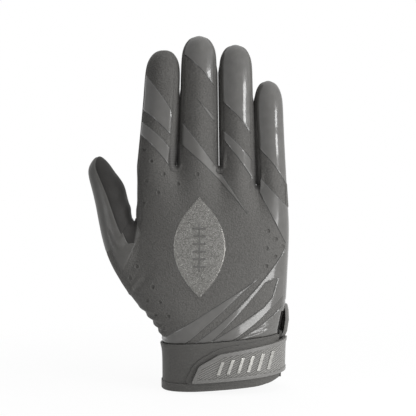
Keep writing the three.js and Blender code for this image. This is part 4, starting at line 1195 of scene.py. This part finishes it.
wider = strap_outline(-LEDGE)
ledge = [(wider[0][0], LEDGE_LOW), (LEDGE_END, LEDGE_LOW), (LEDGE_END, strap_high(LEDGE_END) + LEDGE),
         wider[3], wider[4]]
pad = strap_piece("landing_pad", PAD, rounded(ledge, 5), 0.5)
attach(dress(pad, "cuff_knit"), "hand")
web = strap_piece("strap_webbing", WEB, rounded(strap_outline(0), STRAP_ROUND), 0.4)
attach(dress(web, "cuff_knit", "strap_web"), "strap")
inlay = strap_piece("strap_inlay_plate", INLAY, strap_outline(INLAY_MARGIN), 0.25)
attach(dress(inlay, "inlay_rubber", "strap_inlay"), "strap")
rim = cut_out("strap_rim", over_wrist, RIM[0])
trim(rim, rounded(strap_outline(0), STRAP_ROUND), windows=[rounded(strap_outline(RIM_WIDE), 1.2)])
thicken(rim, RIM[1], outward=True, round_edge=0.5, steps=3)
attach(dress(rim, "strap_rubber", "strap_frame"), "strap")
ribs = []
for k in range(RIBS):
    low = RIB_START + RIB_PITCH * k
    high = low + RIB_SLANT
    bottom, top = strap_low(low) + RIB_MARGIN, strap_high(high) - RIB_MARGIN
    outline = [(low, bottom), (low + RIB_WIDE, bottom), (high + RIB_WIDE, top), (high, top)]
    ribs.append(strap_piece(f"rib_{k + 1}", RIB, outline, 0.3, 2))
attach(dress(join(ribs, "grip_ribs"), "silver_flake", finish="silver_print"), "strap")
print("strap layers: 5, with bars:", len(ribs))

# %% [markdown]
# ### Closure and strap root
# The hook patch is under the strap's free end and the loop patch faces it on the cuff. The strap's other end
# runs up along the opening as a moulded strip, which thins out upwards and bulges along its outer edge.

# %% Closure and root
LOOP, HOOK, ROOT_WALL = (2.6, 0.7), (3.1, 0.6), 2.3
PATCH_START, PATCH_END, PATCH_MARGIN, PATCH_BEVEL, LOOP_MARGIN = -11.5, 14.5, 3, 6, 2.2
ROOT_EDGE = 20.9  # where the strip starts on the palm side


def patch_outline(grow):
    """The outline of a patch, larger by some millimetres on every side."""
    left, right = PATCH_START - grow, PATCH_END + grow
    return [(left, strap_low(PATCH_START) + PATCH_MARGIN - grow),
            (right, strap_low(PATCH_END) + PATCH_MARGIN - grow),
            (right, strap_high(PATCH_END) - PATCH_MARGIN + grow),
            (PATCH_START + PATCH_BEVEL - grow, strap_high(PATCH_START) - PATCH_BEVEL + grow)]


loop = strap_piece("loop_pile", LOOP, patch_outline(LOOP_MARGIN), 0.15, 2)
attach(dress(loop, "pile", "loop_patch"), "hand")
hook = strap_piece("hook_pile", HOOK, patch_outline(0), 0.1, 2)
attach(dress(hook, "pile", "hook_patch"), "strap")
root_faces = (parts == "hand") & np.isin(zones, list("01234")) & np.isin(sides, ["little_palm", "palm"])
root = cut_out("strap_anchor", root_faces, 0)
anchor = [(ROOT_EDGE, strap_low(ROOT_EDGE)), (STRAP_PAST, strap_low(STRAP_PAST)), (STRAP_PAST, 56.5),
          (36.9, 52.5, 2), (ROOT_EDGE, 33.8)]
away = trim(root, anchor)[1]
flat = read(root.data.vertices, "co", 3)
up = flat[:, 2] / MM
outer_side = np.clip((flat[:, 0] / MM - 30) / 9, 0, 1)
bulge = np.interp(up, [30, 36, 42, 50, 55.5], [0, 1.6, 1.1, 0.5, 0])
stand = np.interp(up, [30, 44, 50, 55.5], [4.1, 4.1, 2.6, 0.6])
stand += bulge * outer_side * outer_side * (3 - 2 * outer_side)
root.data.vertices.foreach_set("co", (flat + stand[:, None] * away * MM).ravel())
root.data.update()
thicken(root, ROOT_WALL, round_edge=0.9, steps=3)
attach(dress(root, "strap_rubber", "strap_root"), "hand")
bpy.data.objects.remove(skin)
print("closure pieces: 3")

# %% [markdown]
# ## Floor
# The glove stands on its hem on a pale floor that takes a faint shadow. To keep the picture white, the floor
# glows to the camera and to mirrors, and fades out before its edge could show.

# %% Floor
FLOOR_GLOW = 0.92  # the rest of what the camera sees is the lit floor with its shadow
FADE_START, FADE_END = 0.1, 0.32  # metres from the glove's axis


def seen_as_white(tree):
    """One for rays from the camera, a mirror or a clear surface, which see the white of the room."""
    ray = tree.nodes.new("ShaderNodeLightPath")
    either = add_node(tree, "ShaderNodeMath", {"operation": "MAXIMUM"},
                      {0: ray.outputs["Is Camera Ray"], 1: ray.outputs["Is Glossy Ray"]})
    return add_node(tree, "ShaderNodeMath", {"operation": "MAXIMUM"},
                    {0: either.outputs[0], 1: ray.outputs["Is Transmission Ray"]}).outputs[0]


bpy.ops.mesh.primitive_plane_add(size=4, location=(0, 0, cad_box[0][2]))
floor = bpy.context.object
floor.name = "floor"
# Painted board: nearly white and dull, so that it throws soft light up and mirrors nothing
made, tree, shader, place = new_material("pale_floor", Roughness=0.9, Specular_IOR_Level=0.1)
shader.inputs["Base Color"].default_value = colour("#fafafa")
far = add_node(tree, "ShaderNodeVectorMath", {"operation": "LENGTH"}, {0: place})
fade = add_node(tree, "ShaderNodeMapRange", {"interpolation_type": "SMOOTHSTEP"},
                {"Value": far.outputs["Value"], "From Min": FADE_START, "From Max": FADE_END,
                 "To Min": 1.0, "To Max": 0.0})
tree.links.new(fade.outputs["Result"], shader.inputs["Alpha"])
glow = add_node(tree, "ShaderNodeEmission", inputs={"Color": (1, 1, 1, 1), "Strength": 1.0})
pale = add_node(tree, "ShaderNodeMath", {"operation": "MULTIPLY"}, {0: seen_as_white(tree), 1: FLOOR_GLOW})
shown = add_node(tree, "ShaderNodeMixShader",
                 inputs={0: pale.outputs[0], 1: shader.outputs[0], 2: glow.outputs[0]})
tree.links.new(shown.outputs[0], tree.nodes["Material Output"].inputs["Surface"])
floor.data.materials.append(made)
print("floor at", round(cad_box[0][2], 4))

# %% [markdown]
# ## Light and room
# A broad key lamp from the right models the fingers, a small fill lifts the tips, a lamp above softens the
# top and one behind lights the palm. These four aren't mirrored. Three small lamps are, and draw the bright
# streaks on the finger films, the wrist films and the thumb. The room is white to the eye and dim as a
# light.

# %% Light and room
AIM = Vector((-10, 0, 117.5)) * MM  # middle of the glove, where lamps and camera point
ROOM_LIGHT = 0.05
# Name, place, width and height in metres, watts, and whether gloss mirrors it
LAMPS = [
    ("key", (1.04, -0.28, 0.5), 0.8, 0.9, 9.0, False),
    ("tip_fill", (0.16, -0.24, 0.46), 0.2, 0.2, 0.4, False),
    ("top", (0, 0.1, 1.1), 1.2, 1.2, 5.2, False),
    ("palm_fill", (-0.15, 1.1, 0.4), 1.0, 1.0, 7.5, False),
    ("finger_box", (0.505, -0.347, 0.274), 0.12, 0.1, 0.6, True),
    ("wrist_box", (0.195, -0.3, 0.068), 0.25, 0.095, 0.56, True),
    ("thumb_strip", (-0.237, -0.118, 0.11), 0.058, 0.08, 0.055, True),
]
for name, place, width, height, watts, mirrored in LAMPS:
    light = bpy.data.lights.new(name, "AREA")
    light.shape, light.size, light.size_y, light.energy = "RECTANGLE", width, height, watts
    made = bpy.data.objects.new(name, light)
    made.location = place
    made.rotation_euler = (AIM - Vector(place)).to_track_quat("-Z", "Y").to_euler()
    made.visible_glossy = mirrored
    bpy.context.collection.objects.link(made)
world = bpy.data.worlds.new("white_room")
bpy.context.scene.world = world
world.use_nodes = True
tree = world.node_tree
tree.nodes.clear()
dim = add_node(tree, "ShaderNodeBackground", inputs={"Color": (1, 1, 1, 1), "Strength": ROOM_LIGHT})
white = add_node(tree, "ShaderNodeBackground", inputs={"Color": (1, 1, 1, 1), "Strength": 1.0})
mix = add_node(tree, "ShaderNodeMixShader",
               inputs={0: seen_as_white(tree), 1: dim.outputs[0], 2: white.outputs[0]})
add_node(tree, "ShaderNodeOutputWorld", inputs={"Surface": mix.outputs[0]})
print("lamps:", len(LAMPS))

# %% [markdown]
# ## Camera
# The photo was taken almost level, from a little above the middle of the glove. A long lens keeps the cuff
# and the fingertips at the same scale.

# %% Camera
DISTANCE, TILT, LENS, SENSOR = 0.75, 4, 97.6, 36
camera = bpy.data.objects.new("camera", bpy.data.cameras.new("camera"))
bpy.context.collection.objects.link(camera)
tilt = math.radians(TILT)
camera.location = AIM + Vector((0, -math.cos(tilt), math.sin(tilt))) * DISTANCE
camera.rotation_euler = (AIM - camera.location).to_track_quat("-Z", "Y").to_euler()
camera.data.sensor_width = SENSOR
camera.data.lens = LENS
bpy.context.scene.camera = camera
bpy.context.scene.view_settings.view_transform = "Standard"
print("camera at", [round(c, 3) for c in camera.location])
